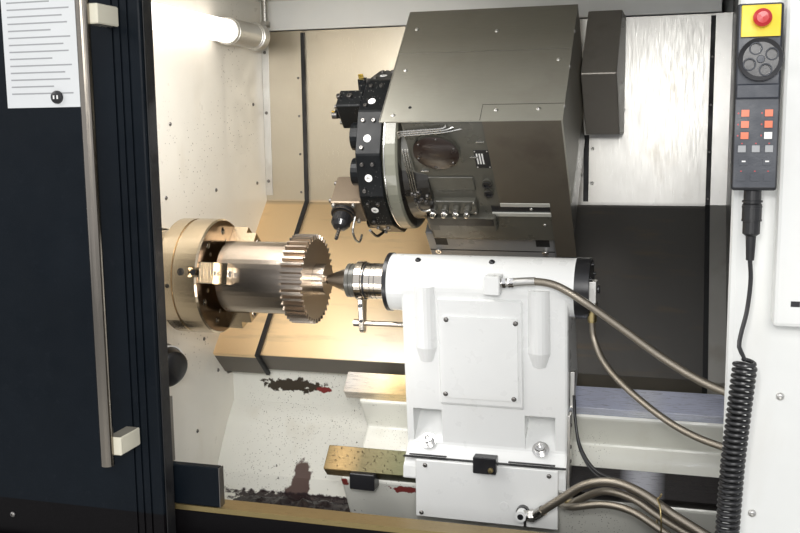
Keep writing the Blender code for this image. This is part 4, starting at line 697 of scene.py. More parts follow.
FINISHES = {
    "wall": ["left_wall"],
    "casing": ["left_casing", "right_casing", "roof_panel", "electrical_cabinet", "cabinet_door", "control_panel"],
    "casting": ["bed", "headstock"],
    "tailstock": ["tailstock_body", "tailstock_cover", "tailstock_apron"],
    "navy": ["door", "front_apron"],
    "grey": ["base_frame", "drive_chassis", "carriage_plate"],
    "housing": ["turret_housing"],
    "holder": ["live_tool_head"],
    "dark": ["right_wall"],
    "saddle": ["saddle"],
    "hood": ["hood"],
    "hood_dark": ["hood_skirt"],
    "motor_cover": ["motor_cover"],
    "stainless": ["right_fixed_cover", "lamp_fitting"],
    "cover": ["moving_cover", "left_fixed_cover"],
    "rail": ["upper_rail", "lower_rail"],
    "sill": ["front_sill"],
    "chuck": ["chuck_body", "spindle", "jaw_1", "jaw_2", "jaw_3"],
    "turned_long": ["workpiece"],
    "turned": ["quill", "live_centre"],
    "handle": ["door_handle"],
    "disc": ["turret_disc", "boring_holder", "turning_holder"],
    "plastic": ["pendant_body"],
    "rubber": ["pendant_plug"],
    "black": ["pendant_wheel", "live_tool_collet"],
    "red": ["pendant_stop", "panel_stop", "main_switch"],
    "green": ["cycle_start"],
    "screen": ["panel_screen"],
    "glass": ["door_window"],
    "lamp": ["lamp_tube"],
}
for finish, nodes in FINISHES.items():
    for node in nodes:
        NODES[node].data.materials.clear()
        NODES[node].data.materials.append(M[finish])


# Helpers for the details

HOUSING_FRONT = 0.2425


def front(x, v, out=0.0):
    """A point off the turret housing's front face."""
    return at(x, *slant(HOUSING_FRONT - out, v))


def plate(name, points, direction, depth, finish, body, bevel=0.0):
    bm = bmesh.new()
    add_prism(bm, points, direction, depth)
    return finish_mesh(name, bm, finish, body, bevel)


def block(name, low, high, finish, body, bevel=0.0015):
    bm = bmesh.new()
    add_box(bm, low, high)
    return finish_mesh(name, bm, finish, body, bevel)


def blocks(name, ranges, finish, body, bevel=0.001):
    bm = bmesh.new()
    for low, high in ranges:
        add_box(bm, low, high)
    return finish_mesh(name, bm, finish, body, bevel)


def front_plate(name, x, v, out, depth, finish, bevel=0.0008):
    """A flat plate on the turret housing's front face."""
    corners = [front(x[0], v[0], out), front(x[1], v[0], out), front(x[1], v[1], out), front(x[0], v[1], out)]
    return plate(name, corners, OUT_FRONT, depth, finish, "cross_slide", bevel)


# Walls, covers and lamp

WALL_SCREWS = [(0.512, 0.388), (0.521, 0.175), (0.276, 0.172), (0.029, 0.170), (0.062, 0.336), (0.181, -0.189),
               (0.2485, -0.2845), (0.128, -0.408)]


def wiper(name, x0, x1, finish, proud, lift=0.0003):
    """A strip over the moving cover: down the back panel, down the slope and over the lip."""
    back, v, u = 0.590 - lift, -0.333 + lift, 0.0007 - lift
    kink = back + v / HALF
    outer = [(back - proud, 0.580), (back - proud, kink + proud * 0.41), slant(u - proud, v + proud),
             slant(u - proud, v - 0.085)]
    inner = [slant(u, v - 0.085), slant(u, v), (back, kink), (back, 0.580)]
    bm = bmesh.new()
    rings = [[bm.verts.new(at(x, y, z)) for y, z in outer + inner] for x in (x0, x1)]
    for n in range(3):
        quad = (n, n + 1, 6 - n, 7 - n)
        bm.faces.new([rings[0][k] for k in quad])
        bm.faces.new([rings[1][k] for k in reversed(quad)])
    for n in range(8):
        m = (n + 1) % 8
        bm.faces.new((rings[0][n], rings[0][m], rings[1][m], rings[1][n]))
    return finish_mesh(name, bm, finish, "frame")


def make_wall_details():
    screws("wall_screws", [at(-0.150, y, z) for y, z in WALL_SCREWS], RIGHT, 0.0048, "zinc_dark", "frame")
    block("corner_strip", (-0.1497, 0.5785, 0.138), (-0.130, 0.5817, 0.556), "stainless", "frame", 0.001)
    screws("corner_screws", [at(-0.141, 0.5785, z) for z in (0.366, 0.1775, 0.53)], FORWARD, 0.0045, "zinc_dark",
           "frame")
    screws("left_rivets", [at(-0.045, 0.5817, z) for z in (0.459, 0.356, 0.252, 0.147)], FORWARD, 0.0035,
           "zinc_dark", "frame")
    wiper("left_wiper", -0.0355, -0.0255, "seal", 0.0085)
    wiper("right_wiper", 1.0285, 1.0395, "seal", 0.0085)
    screws("right_rivets", [at(1.034, 0.5812, z) for z in (0.482, 0.367, 0.253, 0.138)], FORWARD, 0.0030,
           "zinc_dark", "frame")
    block("cover_strip", (0.729, 0.5862, 0.128), (0.742, 0.5897, 0.297), "seal", "carriage", 0.0008)
    screws("cover_screws", [at(x, 0.590, z) for x, z in ((0.711, 0.2795), (0.7224, 0.1955), (0.7505, 0.175),
                                                         (0.7026, 0.160), (0.7505, 0.262))],
           FORWARD, 0.0042, "zinc", "carriage")
    tube("lamp_conduit", [(-0.112, 0.500, 0.562), (-0.112, 0.514, 0.5625), (-0.112, 0.5215, 0.568),
                          (-0.112, 0.523, 0.578), (-0.112, 0.523, 0.664)], 0.0095, "pipe", "frame", 0.005, 16)
    bm = bmesh.new()
    add_hex(bm, at(-0.112, 0.494, 0.562), (0, 1, 0), 0.0185, 0.012)
    add_hex(bm, at(-0.112, 0.523, 0.590), UP, 0.0145, 0.016)
    add_turned(bm, [(0, 0), (0.017, 0), (0.017, 0.004), (0, 0.004)], at(-0.112, 0.523, 0.6606), UP, 24)
    finish_mesh("lamp_glands", bm, "zinc", "frame")
    bm = bmesh.new()
    for y in (-0.262, 0.286, 0.300, 0.432):
        add_turned(bm, [(0.0305, 0), (0.0335, 0.001), (0.0335, 0.006), (0.0305, 0.007)], at(-0.112, y, 0.562),
                   (0, 1, 0), 32)
    finish_mesh("lamp_rings", bm, "zinc", "frame")
    screws("header_screws", [at(x, -0.350, 0.745) for x in (-0.10, 0.19, 0.48, 0.77, 1.02)], FORWARD, 0.005,
           "zinc", "frame")


# Chuck, blank and centre

JAW_ANGLES = (168, 288, 48)
QUILL_MARK = [(0.0379, 0), (0.0382, 0.0002), (0.0382, 0.0012), (0.0379, 0.0014)]


def round_point(angle, radius, x):
    """A point round the spindle, with its outward direction."""
    turn = math.radians(angle)
    out = Vector((0, math.cos(turn), math.sin(turn)))
    return at(x, *(out.yz * radius)), out


def make_chuck_details():
    bm = bmesh.new()
    for angle in JAW_ANGLES:
        for side in (-38, 38):
            spot, _ = round_point(angle + side, 0.100, -0.012)
            add_socket_screw(bm, spot, RIGHT, 0.0062)
    finish_mesh("chuck_screws", bm, "black", "spindle")
    bm = bmesh.new()
    for angle in JAW_ANGLES:
        spot, out = round_point(angle, 0.1262, -0.0075)
        add_turned(bm, [(0, 0), (0.0070, 0), (0.0070, 0.0012), (0, 0.0012)], spot, out, 6)
        for x, radius in ((-0.036, 0.0075), (-0.068, 0.0045)):
            spot, out = round_point(angle + (0 if radius > 0.005 else 14), 0.1266, x)
            add_turned(bm, [(0, 0.0009), (radius * 0.5, 0.0009), (radius * 0.55, 0.0001), (radius, 0.0009),
                            (radius * 1.1, 0.0), (0, -0.001)], spot, out, 16)
    finish_mesh("chuck_plugs", bm, "black", "spindle")
    bm = bmesh.new()
    for angle in range(0, 360, 60):
        spot, out = round_point(angle + 15, 0.078, -0.0001)
        add_turned(bm, [(0, 0.0008), (0.0040, 0.0008), (0.0052, 0)], spot, RIGHT, 16)
    finish_mesh("chuck_face_plugs", bm, "turned", "spindle")
    for number, angle in enumerate(JAW_ANGLES, 1):
        turn = math.radians(angle)
        out = Vector((0, math.cos(turn), math.sin(turn)))
        across = out.cross(RIGHT)
        bm = bmesh.new()
        for step in range(11):
            x = 0.0025 + step * 0.0032
            base = at(x, *(out.yz * 0.1187))
            add_prism(bm, [base - across * 0.0215, base + across * 0.0215,
                           base + across * 0.0215 + RIGHT * 0.0016, base - across * 0.0215 + RIGHT * 0.0016],
                      out, 0.0008)
        finish_mesh(f"jaw_{number}_serrations", bm, "turned", f"jaw_{number}")
        bm = bmesh.new()
        spot = at(0.0600, *(out.yz * 0.0905))
        add_turned(bm, [(0.0062, 0.0001), (0.0085, 0.0012), (0.0105, 0.0012), (0.0112, 0.0), (0.0062, -0.001)],
                   spot, RIGHT, 24)
        finish_mesh(f"jaw_{number}_bore_rim", bm, "turned", f"jaw_{number}")
        bm = bmesh.new()
        add_turned(bm, [(0, 0.0004), (0.0060, 0.0006), (0.0070, 0.0)], spot, RIGHT, 24)
        add_turned(bm, [(0, 0.0006), (0.0052, 0.0006), (0.0055, 0)], at(0.036, *(out.yz * 0.1108)), RIGHT, 20)
        finish_mesh(f"jaw_{number}_bores", bm, "black", f"jaw_{number}")


def make_centre_details():
    turned("centre_collar", [(0.0335, 0.0), (0.0362, 0.001), (0.0362, 0.0085), (0.0345, 0.0095), (0.0345, 0.0125),
                             (0.0362, 0.0135), (0.0362, 0.0200), (0.0335, 0.0210)], at(0.2955, 0, 0), RIGHT, "grey",
           "centre", 40)
    turned("quill_ring", [(0.0379, 0), (0.0392, 0.0008), (0.0392, 0.0042), (0.0379, 0.005)], at(0.3355, 0, 0),
           RIGHT, "black", "quill", 40)
    bm = bmesh.new()
    for x in (0.352, 0.362):
        add_turned(bm, QUILL_MARK, at(x, 0, 0), RIGHT, 40)
    finish_mesh("quill_marks", bm, "seal", "quill")
    bm = bmesh.new()
    add_socket_screw(bm, at(0.3255, -0.0130, -0.052), FORWARD, 0.0042)
    add_socket_screw(bm, at(0.3255, -0.0095, -0.086), FORWARD, 0.0032)
    finish_mesh("quill_arm_screws", bm, "black", "quill")


# Turret

TURRET = Vector((0, 0.374 * HALF, 0.374 * HALF))
DISC_RADIUS = 0.188
STATION_FLAT = DISC_RADIUS * math.cos(math.radians(14.2))


def station(number, radius, x, swing=0.0):
    """A point at a turret station, with the station's outward direction."""
    angle = 225 - (number - 8) * 30
    turn = math.radians(angle + swing)
    out = Vector((0, math.cos(math.radians(angle)), math.sin(math.radians(angle))))
    spoke = Vector((0, math.cos(turn), math.sin(turn)))
    return ORIGIN + TURRET + Vector((x, 0, 0)) + spoke * radius, out


def make_turret_details():
    labels = bmesh.new()
    for number in range(1, 13):
        swing = {11: 6.0, 10: 4.0, 9: 1.5, 8: -1.5}.get(number, 2.0)
        spot, out = station(number, STATION_FLAT / math.cos(math.radians(swing)), 0.3145, swing)
        add_turned(labels, [(0, 0.0009), (0.0082, 0.0009), (0.0086, 0.0)], spot, out, 28)
        lettering(f"station_{number}", str(number), spot + out * 0.0010, out, 0.0105, "black", "turret",
                  math.radians(90))
    finish_mesh("station_labels", labels, "white", "turret")
    bm = bmesh.new()
    for number in range(1, 13):
        for x, swing in ((0.3030, -8.5), (0.3270, -8.5), (0.3030, 10.5)):
            spot, out = station(number, STATION_FLAT / math.cos(math.radians(swing)), x, swing)
            add_socket_screw(bm, spot, out, 0.0042)
    for step in range(12):
        spot, _ = station(1, 0.070, 0.2750, 15 + 30 * step)
        add_socket_screw(bm, spot, -RIGHT, 0.0042)
    finish_mesh("turret_screws", bm, "zinc_dark", "turret")
    bm = bmesh.new()
    for number in (1, 2, 3, 4, 5, 6, 7, 9, 10):
        spot, _ = station(number, 0.150, 0.272)
        add_turned(bm, [(0.0105, 0.0002), (0.0125, 0.0016), (0.0265, 0.0016), (0.0285, 0.0)], spot, -RIGHT, 28)
        add_socket_screw(bm, spot, -RIGHT, 0.0062)
        for swing in (-6.2, 6.2):
            side, _ = station(number, 0.150, 0.272, swing)
            add_dome_screw(bm, side, -RIGHT, 0.0030)
    finish_mesh("plug_faces", bm, "grey", "turret")
    bm = bmesh.new()
    for number in range(1, 13):
        spot, out = station(number, 0.112, 0.2890, 15)
        add_turned(bm, [(0, 0.006), (0.0035, 0.0055), (0.0045, 0.002), (0.0045, -0.001)], spot, -RIGHT, 14)
    finish_mesh("coolant_nozzles", bm, "brass", "turret")
    turned("turret_boss", [(0, 0.010), (0.026, 0.010), (0.030, 0.006), (0.034, 0.0055), (0.034, -0.001)],
           at(0.275, *TURRET.yz), -RIGHT, "grey", "turret", 40)
    turned("ring_edge", [(0.1779, 0), (0.1790, 0.0006), (0.1790, 0.0026), (0.1779, 0.0032)], at(0.3495, *TURRET.yz),
           RIGHT, "bright", "cross_slide", 96)


def make_tool_details():
    """Bar, inserts, clamp screws and the coolant nozzle on the mounted tools."""
    spot, out = station(11, 0.129, 0.2165)
    across = out.cross(RIGHT)
    bm = bmesh.new()
    add_turned(bm, [(0, 0.0), (0.0085, 0.0005), (0.0085, 0.012), (0, 0.012)], spot - across * 0.006 - RIGHT * 0.012,
               RIGHT, 20)
    finish_mesh("boring_bar", bm, "dark", "turret")
    insert = spot - across * 0.006 - RIGHT * 0.012 + out * 0.0065
    plate("boring_insert", [insert, insert + out * 0.006 + RIGHT * 0.001, insert + out * 0.004 + RIGHT * 0.008,
                            insert - out * 0.002 + RIGHT * 0.006], across, 0.003, "gold", "turret", 0.0004)
    spot, out = station(12, 0.1765, 0.258)
    across = out.cross(RIGHT)
    plate("turning_insert", [spot - RIGHT * 0.006, spot + RIGHT * 0.006, spot + RIGHT * 0.004 + out * 0.010,
                             spot - RIGHT * 0.007 + out * 0.009], across, 0.004, "gold", "turret", 0.0005)
    bm = bmesh.new()
    for number, radius, x in ((11, 0.178, 0.232), (11, 0.178, 0.258), (12, 0.168, 0.2735)):
        spot, out = station(number, radius, x)
        add_socket_screw(bm, spot, out, 0.0058)
    for radius, side in ((0.116, 0.019), (0.166, 0.019), (0.116, -0.017), (0.166, -0.017)):
        spot, out = station(11, radius, 0.2285)
        add_socket_screw(bm, spot + out.cross(RIGHT) * side, -RIGHT, 0.0045)
    for radius in (0.120, 0.172):
        for side in (-0.024, 0.024):
            spot, out = station(8, radius, 0.2148)
            add_socket_screw(bm, spot + out.cross(RIGHT) * side, -RIGHT, 0.0050)
    finish_mesh("tool_screws", bm, "zinc_dark", "turret")
    spot, out = station(8, 0.186, 0.240)
    across = out.cross(RIGHT)
    bm = bmesh.new()
    for side in (-0.0265, 0.0265):
        for x in (-0.017, 0.030):
            add_socket_screw(bm, spot + across * side + RIGHT * x, out, 0.0048)
    finish_mesh("live_head_screws", bm, "zinc", "turret")
    turned("live_cap", [(0.0216, 0.0), (0.0275, 0.0), (0.0282, 0.0010), (0.0282, 0.0130), (0.0262, 0.0148),
                        (0.0222, 0.0148)], station(8, 0.1800, 0.240)[0], out, "black", "turret", 32)
    bm = bmesh.new()
    nose = station(8, 0.1943, 0.240)[0]
    for step in range(18):
        turn = math.radians(20 * step)
        arm = across * math.cos(turn) + RIGHT * math.sin(turn)
        base = nose + arm * 0.0209 + out * 0.006
        side = arm.cross(out)
        add_prism(bm, [base - side * 0.0014, base + side * 0.0014, base + side * 0.0014 + out * 0.018,
                       base - side * 0.0014 + out * 0.018], arm, 0.0010)
    finish_mesh("collet_ribs", bm, "black", "live_tool")
    bm = bmesh.new()
    spiral = [nose + out * (0.041 + 0.0265 * n / 60)
              + (across * math.cos(n * 0.42) + RIGHT * math.sin(n * 0.42)) * 0.0034 for n in range(61)]
    add_tube(bm, spiral, 0.0011, 6)
    finish_mesh("tap_flutes", bm, "holder", "live_tool")
    loop = [(0.281, 0.094, 0.127), (0.277, 0.086, 0.098), (0.279, 0.098, 0.076), (0.280, 0.122, 0.068),
            (0.280, 0.140, 0.082)]
    tube("coolant_loop", loop, 0.0026, "pipe", "turret", 0.004, 10)
    tube("lower_bracket", [(0.292, 0.1635, 0.090), (0.290, 0.190, 0.080), (0.290, 0.225, 0.070),
                           (0.296, 0.262, 0.078)], 0.0034, "black", "turret", 0.006, 10)


# Turret housing and hood

def make_housing_details():
    hub = front(0.474, 0.1445, 0.0100)
    turned("round_cover", [(0, 0.0010), (0.0478, 0.0010), (0.0492, 0.0)], hub, OUT_FRONT, "oxide",
           "cross_slide", 64)
    bm = bmesh.new()
    for step in range(6):
        turn = math.radians(20 + 60 * step)
        spot = front(0.474 + 0.0430 * math.cos(turn), 0.1445 + 0.0430 * math.sin(turn), 0.0110)
        add_dome_screw(bm, spot, OUT_FRONT, 0.0026)
    finish_mesh("round_cover_screws", bm, "zinc_dark", "cross_slide")
    front_plate("bare_nameplate", (0.552, 0.584), (0.089, 0.144), 0.0, 0.0010, "black")
    lines = [((0.5565 + 0.0058 * n, 0.5595 + 0.0058 * n), (0.102, 0.134)) for n in range(3)]
    for n, (x, v) in enumerate(lines):
        front_plate(f"nameplate_column_{n}", x, v, 0.0010, 0.0003, "white", 0.0)
    screws("nameplate_rivets", [front(x, v, 0.0010) for x in (0.5548, 0.5812) for v in (0.0925, 0.1405)],
           OUT_FRONT, 0.0018, "zinc", "cross_slide")
    front_plate("raised_pad", (0.432, 0.540), (0.020, 0.062), 0.0, 0.0035, "housing", 0.003)
    bm = bmesh.new()
    for v in (0.044, 0.015):
        add_turned(bm, [(0, -0.0020), (0.0060, -0.0020), (0.0068, 0.0012), (0.0108, 0.0012), (0.0112, 0.0)],
                   front(0.569, v, 0.0100), OUT_FRONT, 28)
    finish_mesh("port_plugs", bm, "black", "cross_slide")
    bm = bmesh.new()
    for x in (0.438, 0.464, 0.490, 0.516):
        start = front(x, -0.030, 0.0235)
        add_hex(bm, start, OUT_FRONT, 0.0078, 0.010)
        add_turned(bm, [(0.0046, 0.010), (0.0046, 0.016), (0.0026, 0.017), (0, 0.017)], start, OUT_FRONT, 16)
    finish_mesh("valve_fittings", bm, "bright", "cross_slide")
    bm = bmesh.new()
    for x in (0.427, 0.531):
        for v in (-0.013, -0.047):
            add_socket_screw(bm, front(x, v, 0.0100), OUT_FRONT, 0.0030)
    for n in range(6):
        add_socket_screw(bm, front(0.424 + 0.0284 * n, -0.0965, 0.0100), OUT_FRONT, 0.0030)
    finish_mesh("manifold_screws", bm, "zinc", "cross_slide")
    front_plate("valve_cover", (0.418, 0.571), (-0.088, -0.060), 0.0100, 0.0085, "black", 0.003)
    front_plate("face_strip_1", (0.588, 0.698), (-0.034, -0.022), 0.0, 0.0045, "strip", 0.001)
    front_plate("face_strip_2", (0.566, 0.698), (-0.067, -0.055), 0.0, 0.0045, "strip", 0.001)
    front_plate("face_groove", (0.566, 0.698), (-0.055, -0.034), 0.0, 0.0010, "black", 0.0)
    screws("face_screw", [front(0.655, -0.044, 0.001), front(0.680, -0.100, 0.0)], OUT_FRONT, 0.004, "zinc",
           "cross_slide")
    bm = bmesh.new()
    for n, x in enumerate((0.4005, 0.4060, 0.4115)):
        route = [front(x, 0.150, 0.002), front(x, 0.142, 0.0070), front(x, 0.100, 0.0120),
                 front(x, 0.066, 0.0160), front(x, 0.040, 0.0200), front(x + 0.001, 0.022, 0.0205)]
        add_tube(bm, smooth_route(route, 0.005), 0.0021, 8)
    for n in range(3):
        v = 0.196 + 0.006 * n
        route = [front(0.399, v - 0.012, 0.0030), front(0.405, v - 0.004, 0.0045), front(0.440, v, 0.0045),
                 front(0.500, v + 0.006, 0.0045), front(0.545 - 0.02 * n, v + 0.010, -0.003)]
        add_tube(bm, smooth_route(route, 0.006), 0.0021, 8)
    finish_mesh("housing_pipes", bm, "pipe", "cross_slide")
    tube_points = [(0.404, *slant(0.2195, 0.012)), (0.407, *slant(0.2150, -0.010)), (0.418, *slant(0.2150, -0.024)),
                   (0.436, *slant(0.2220, -0.026))]
    tube("manifold_pipe", tube_points, 0.0032, "pipe", "cross_slide", 0.004, 10)
    bm = bmesh.new()
    for n, (x, v) in enumerate(((0.4005, 0.028), (0.4075, 0.024), (0.4150, 0.030), (0.4045, 0.008), (0.4120, 0.002),
                                (0.4200, 0.012), (0.4280, 0.004), (0.4340, 0.020))):
        reach = 0.152 * math.cos(math.asin(v / 0.152)) - 0.1315
        add_hex(bm, front(x, v, reach - 0.002), OUT_FRONT, 0.0050 + 0.0006 * (n % 3), 0.008)
        add_turned(bm, [(0.0028, 0.007), (0.0028, 0.012), (0, 0.012)], front(x, v, reach - 0.002), OUT_FRONT, 12)
    finish_mesh("pipe_unions", bm, "dark", "cross_slide")
    bm = bmesh.new()
    for x, v in ((0.427, 0.079), (0.5425, 0.1225), (0.562, 0.168)):
        add_prism(bm, [front(x, v), front(x + 0.018, v), front(x + 0.018, v + 0.0035), front(x, v + 0.0035)],
                  OUT_FRONT, 0.0035)
    finish_mesh("housing_ribs", bm, "pipe", "cross_slide", 0.0008)


def make_hood_details():
    top = 0.2331
    spots = [on_slant(x, u, top) for x, u in ((0.395, 0.528), (0.3945, 0.394), (0.394, 0.257), (0.578, 0.512),
                                              (0.721, 0.4137), (0.609, 0.2684), (0.695, 0.270))]
    screws("hood_screws", spots, OUT_V, 0.0046, "zinc", "cross_slide")
    turned("hood_hole", [(0, 0.0003), (0.0036, 0.0003), (0.0038, 0)], on_slant(0.4265, 0.280, top), OUT_V, "black",
           "cross_slide", 16)
    # Painted highlight: the fold is a thin strip of lighter steel along the bend of the sheet.
    for name, x0, x1, u0, u1 in (("hood_fold", 0.3685, 0.7445, 0.4470, 0.4488),
                                 ("hood_seam", 0.580, 0.7445, 0.2842, 0.2850),
                                 ("hood_seam_end", 0.5795, 0.5803, 0.2400, 0.2850),
                                 ("hood_edge", 0.3675, 0.3695, 0.2400, 0.5880)):
        plate(name, [on_slant(x0, u0, top), on_slant(x1, u0, top), on_slant(x1, u1, top), on_slant(x0, u1, top)],
              OUT_V, 0.0004, "fold" if "edge" in name or "fold" in name else "seal", "cross_slide")
    screws("hood_side_screws", [at(0.746, 0.112, 0.4415), at(0.746, 0.031, 0.360), at(0.746, 0.190, 0.519)], RIGHT,
           0.0042, "zinc", "cross_slide")
    screws("skirt_screws", [front(0.640, 0.205, 0.0), front(0.725, 0.205, 0.0)], OUT_FRONT, 0.0035, "zinc",
           "cross_slide")
    screws("motor_cover_screws", [at(0.8282, y, z) for y, z in ((0.47, 0.55), (0.47, 0.42), (0.56, 0.36))], RIGHT,
           0.0040, "zinc", "carriage")
    screws("saddle_screws", [at(0.409, 0.343, 0.028), at(0.669, 0.341, 0.029)], OUT_FRONT, 0.0075, "bright",
           "carriage", add_socket_screw)
    bm = bmesh.new()
    for x0, x1, v0, v1 in ((0.387, 0.690, -0.226, -0.223), (0.405, 0.435, -0.205, -0.180),
                           (0.648, 0.680, -0.205, -0.180)):
        points = [at(x, *slant(0.262, v)) for x, v in ((x0, v0), (x1, v0), (x1, v1), (x0, v1))]
        add_prism(bm, points, OUT_FRONT, 0.0006)
    finish_mesh("saddle_seams", bm, "seal", "carriage")


make_wall_details()
make_chuck_details()
make_centre_details()
make_turret_details()
make_tool_details()
make_housing_details()
make_hood_details()


# Tailstock

LOWER_BOLT_U = -0.2517


def make_tailstock_details():
    screws("cover_plate_screws",
           [at(0.524, -0.0615, -0.0638), at(0.6655, -0.0613, -0.066), at(0.518, -0.0438, -0.2235),
                                  at(0.660, -0.0435, -0.2257)], Vector((0, -0.994, -0.111)), 0.0052, "zinc_dark",
           "tailstock")
    bm = bmesh.new()
    for x in (0.475, 0.712):
        spot = on_slant(x, LOWER_BOLT_U, -0.2219)
        add_turned(bm, [(0.012, 0), (0.0165, 0.0004), (0.0175, 0.0022), (0.0105, 0.0024)], spot, OUT_V, 28)
        add_socket_screw(bm, spot + OUT_V * 0.002, OUT_V, 0.0118)
    finish_mesh("pocket_bolts", bm, "bright", "tailstock")
    bm = bmesh.new()
    for x in (0.458, 0.612):
        add_dome_screw(bm, at(x, -0.0300, 0.0517), Vector((0, -0.5, 0.866)), 0.0062)
    finish_mesh("barrel_plugs", bm, "black", "tailstock")
    screws("apron_screws",
           [at(0.4786, -0.0662, -0.3724), at(0.7354, -0.0662, -0.3730), at(0.4700, -0.0662, -0.476)],
           FORWARD, 0.0048, "zinc_dark", "tailstock")
    turned("apron_plug", [(0, 0.0005), (0.0085, 0.0005), (0.0090, 0.0)], at(0.6446, -0.0660, -0.4445), FORWARD,
           "tailstock", "tailstock", 32)
    block("apron_clip", (0.6850, -0.0672, -0.485), (0.6905, -0.0660, -0.4615), "zinc_dark", "tailstock", 0.0004)
    block("lubricator", (0.583, -0.0820, -0.375), (0.6305, -0.0560, -0.341), "black", "tailstock", 0.002)
    turned("lubricator_plug", [(0, 0.004), (0.0050, 0.0035), (0.0058, 0.0)], at(0.6200, -0.0820, -0.3660), FORWARD,
           "brass", "tailstock", 18)
    block("base_joint", (0.4285, -0.0572, -0.3612), (0.7675, -0.0480, -0.3596), "seal", "tailstock", 0.0)
    bm = bmesh.new()
    for x0, x1, z in ((0.440, 0.520, -0.3566), (0.650, 0.745, -0.3566)):
        add_box(bm, (x0, -0.0500, z - 0.0014), (x1, -0.0440, z + 0.0004))
    finish_mesh("base_slots", bm, "black", "tailstock")
    block("side_wiper", (0.7690, -0.0540, -0.4200), (0.7750, -0.0130, -0.2500), "zinc", "tailstock", 0.001)
    blocks("side_rail_wiper", [((0.7688, -0.0120, -0.2450), (0.7780, 0.0100, -0.1700))], "zinc", "tailstock")
    screws("side_wiper_screws", [at(0.7750, -0.046, z) for z in (-0.270, -0.315, -0.345, -0.400)], RIGHT, 0.0042,
           "zinc_dark", "tailstock")
    block("side_fitting", (0.7545, -0.0640, -0.4360), (0.7810, -0.0580, -0.4040), "zinc", "tailstock", 0.001)
    bm = bmesh.new()
    for x, z in ((0.7620, -0.428), (0.7760, -0.426)):
        add_hex(bm, at(x, -0.0640, z), FORWARD, 0.0075, 0.010)
        add_turned(bm, [(0.0048, 0.010), (0.0048, 0.013), (0, 0.014)], at(x, -0.0640, z), FORWARD, 14)
    finish_mesh("side_unions", bm, "brass", "tailstock")
    turned("rear_ring", [(0.0606, 0.0), (0.0614, 0.0006), (0.0614, 0.0284), (0.0604, 0.0290)],
           at(0.7784, 0, 0), RIGHT,
           "black", "tailstock", 64)
    turned("front_ring", [(0.0606, 0.0), (0.0616, 0.0006), (0.0616, 0.0085), (0.0606, 0.0090)], at(0.3872, 0, 0),
           RIGHT, "black", "tailstock", 64)
    bm = bmesh.new()
    add_turned(bm, [(0, 0), (0.0580, 0), (0.0580, 0.0004), (0, 0.0004)], at(0.8072, 0, 0), RIGHT, 48)
    for step in range(6):
        spot, _ = round_point(30 + 60 * step, 0.048, 0.8072)
        add_socket_screw(bm, spot, RIGHT, 0.0040)
    finish_mesh("rear_cap_face", bm, "black", "tailstock")
    bm = bmesh.new()
    add_box(bm, (0.8025, -0.0455, -0.0225), (0.8210, -0.0145, 0.0205))
    finish_mesh("rear_block", bm, "zinc", "tailstock", 0.0015)
    turned("rear_knob", [(0, 0.0060), (0.0085, 0.0056), (0.0095, 0.0046), (0.0095, 0.0020), (0.0050, 0.0014),
                         (0.0050, -0.001)], at(0.8210, -0.030, 0.004), RIGHT, "black", "tailstock", 24)
    bm = bmesh.new()
    add_hex(bm, at(0.8125, -0.030, -0.0220), -UP, 0.0108, 0.014)
    finish_mesh("rear_nut", bm, "bright", "tailstock")
    turned("rear_ferrule", [(0.0081, 0.0), (0.0092, 0.001), (0.0092, 0.022), (0.0078, 0.0265)],
           at(0.8125, -0.030, -0.0365), -UP, "brass", "tailstock", 24)
    bm = bmesh.new()
    add_hex(bm, at(0.623, -0.080, 0.0325), -UP, 0.0100, 0.012)
    add_turned(bm, [(0, 0), (0.0086, 0.0005), (0.0086, 0.016), (0, 0.0165)], at(0.6235, -0.080, 0.0180), RIGHT, 20)
    add_hex(bm, at(0.6400, -0.080, 0.0183), RIGHT, 0.0102, 0.010)
    add_hex(bm, at(0.6540, -0.0802, 0.0190), Vector((1, -0.05, 0.05)), 0.0098, 0.012)
    finish_mesh("upper_elbow", bm, "bright", "tailstock")
    tube("upper_ferrule", [(0.6500, -0.0800, 0.0185), (0.6680, -0.0808, 0.0200), (0.6900, -0.0835, 0.0225),
                           (0.7080, -0.0858, 0.0238)], 0.0088, "zinc", "tailstock", 0.005, 16)
    bm = bmesh.new()
    add_turned(bm, [(0.0112, 0.0), (0.0128, 0.0005), (0.0128, 0.0120), (0.0108, 0.0140), (0.0108, 0.0352),
                    (0, 0.0366)], at(0.684, -0.0662, -0.450), FORWARD, 24)
    finish_mesh("lower_elbow", bm, "black", "tailstock")
    tube("lower_ferrule", [(0.6800, -0.0900, -0.4505), (0.6970, -0.0902, -0.4500), (0.7100, -0.0918, -0.4478),
                           (0.7290, -0.1010, -0.4315)], 0.0104, "pipe", "tailstock", 0.004, 18)
    bm = bmesh.new()
    add_hex(bm, at(0.7000, -0.0904, -0.4494), Vector((0.97, -0.12, 0.16)), 0.0128, 0.012)
    finish_mesh("lower_nut", bm, "zinc", "tailstock")


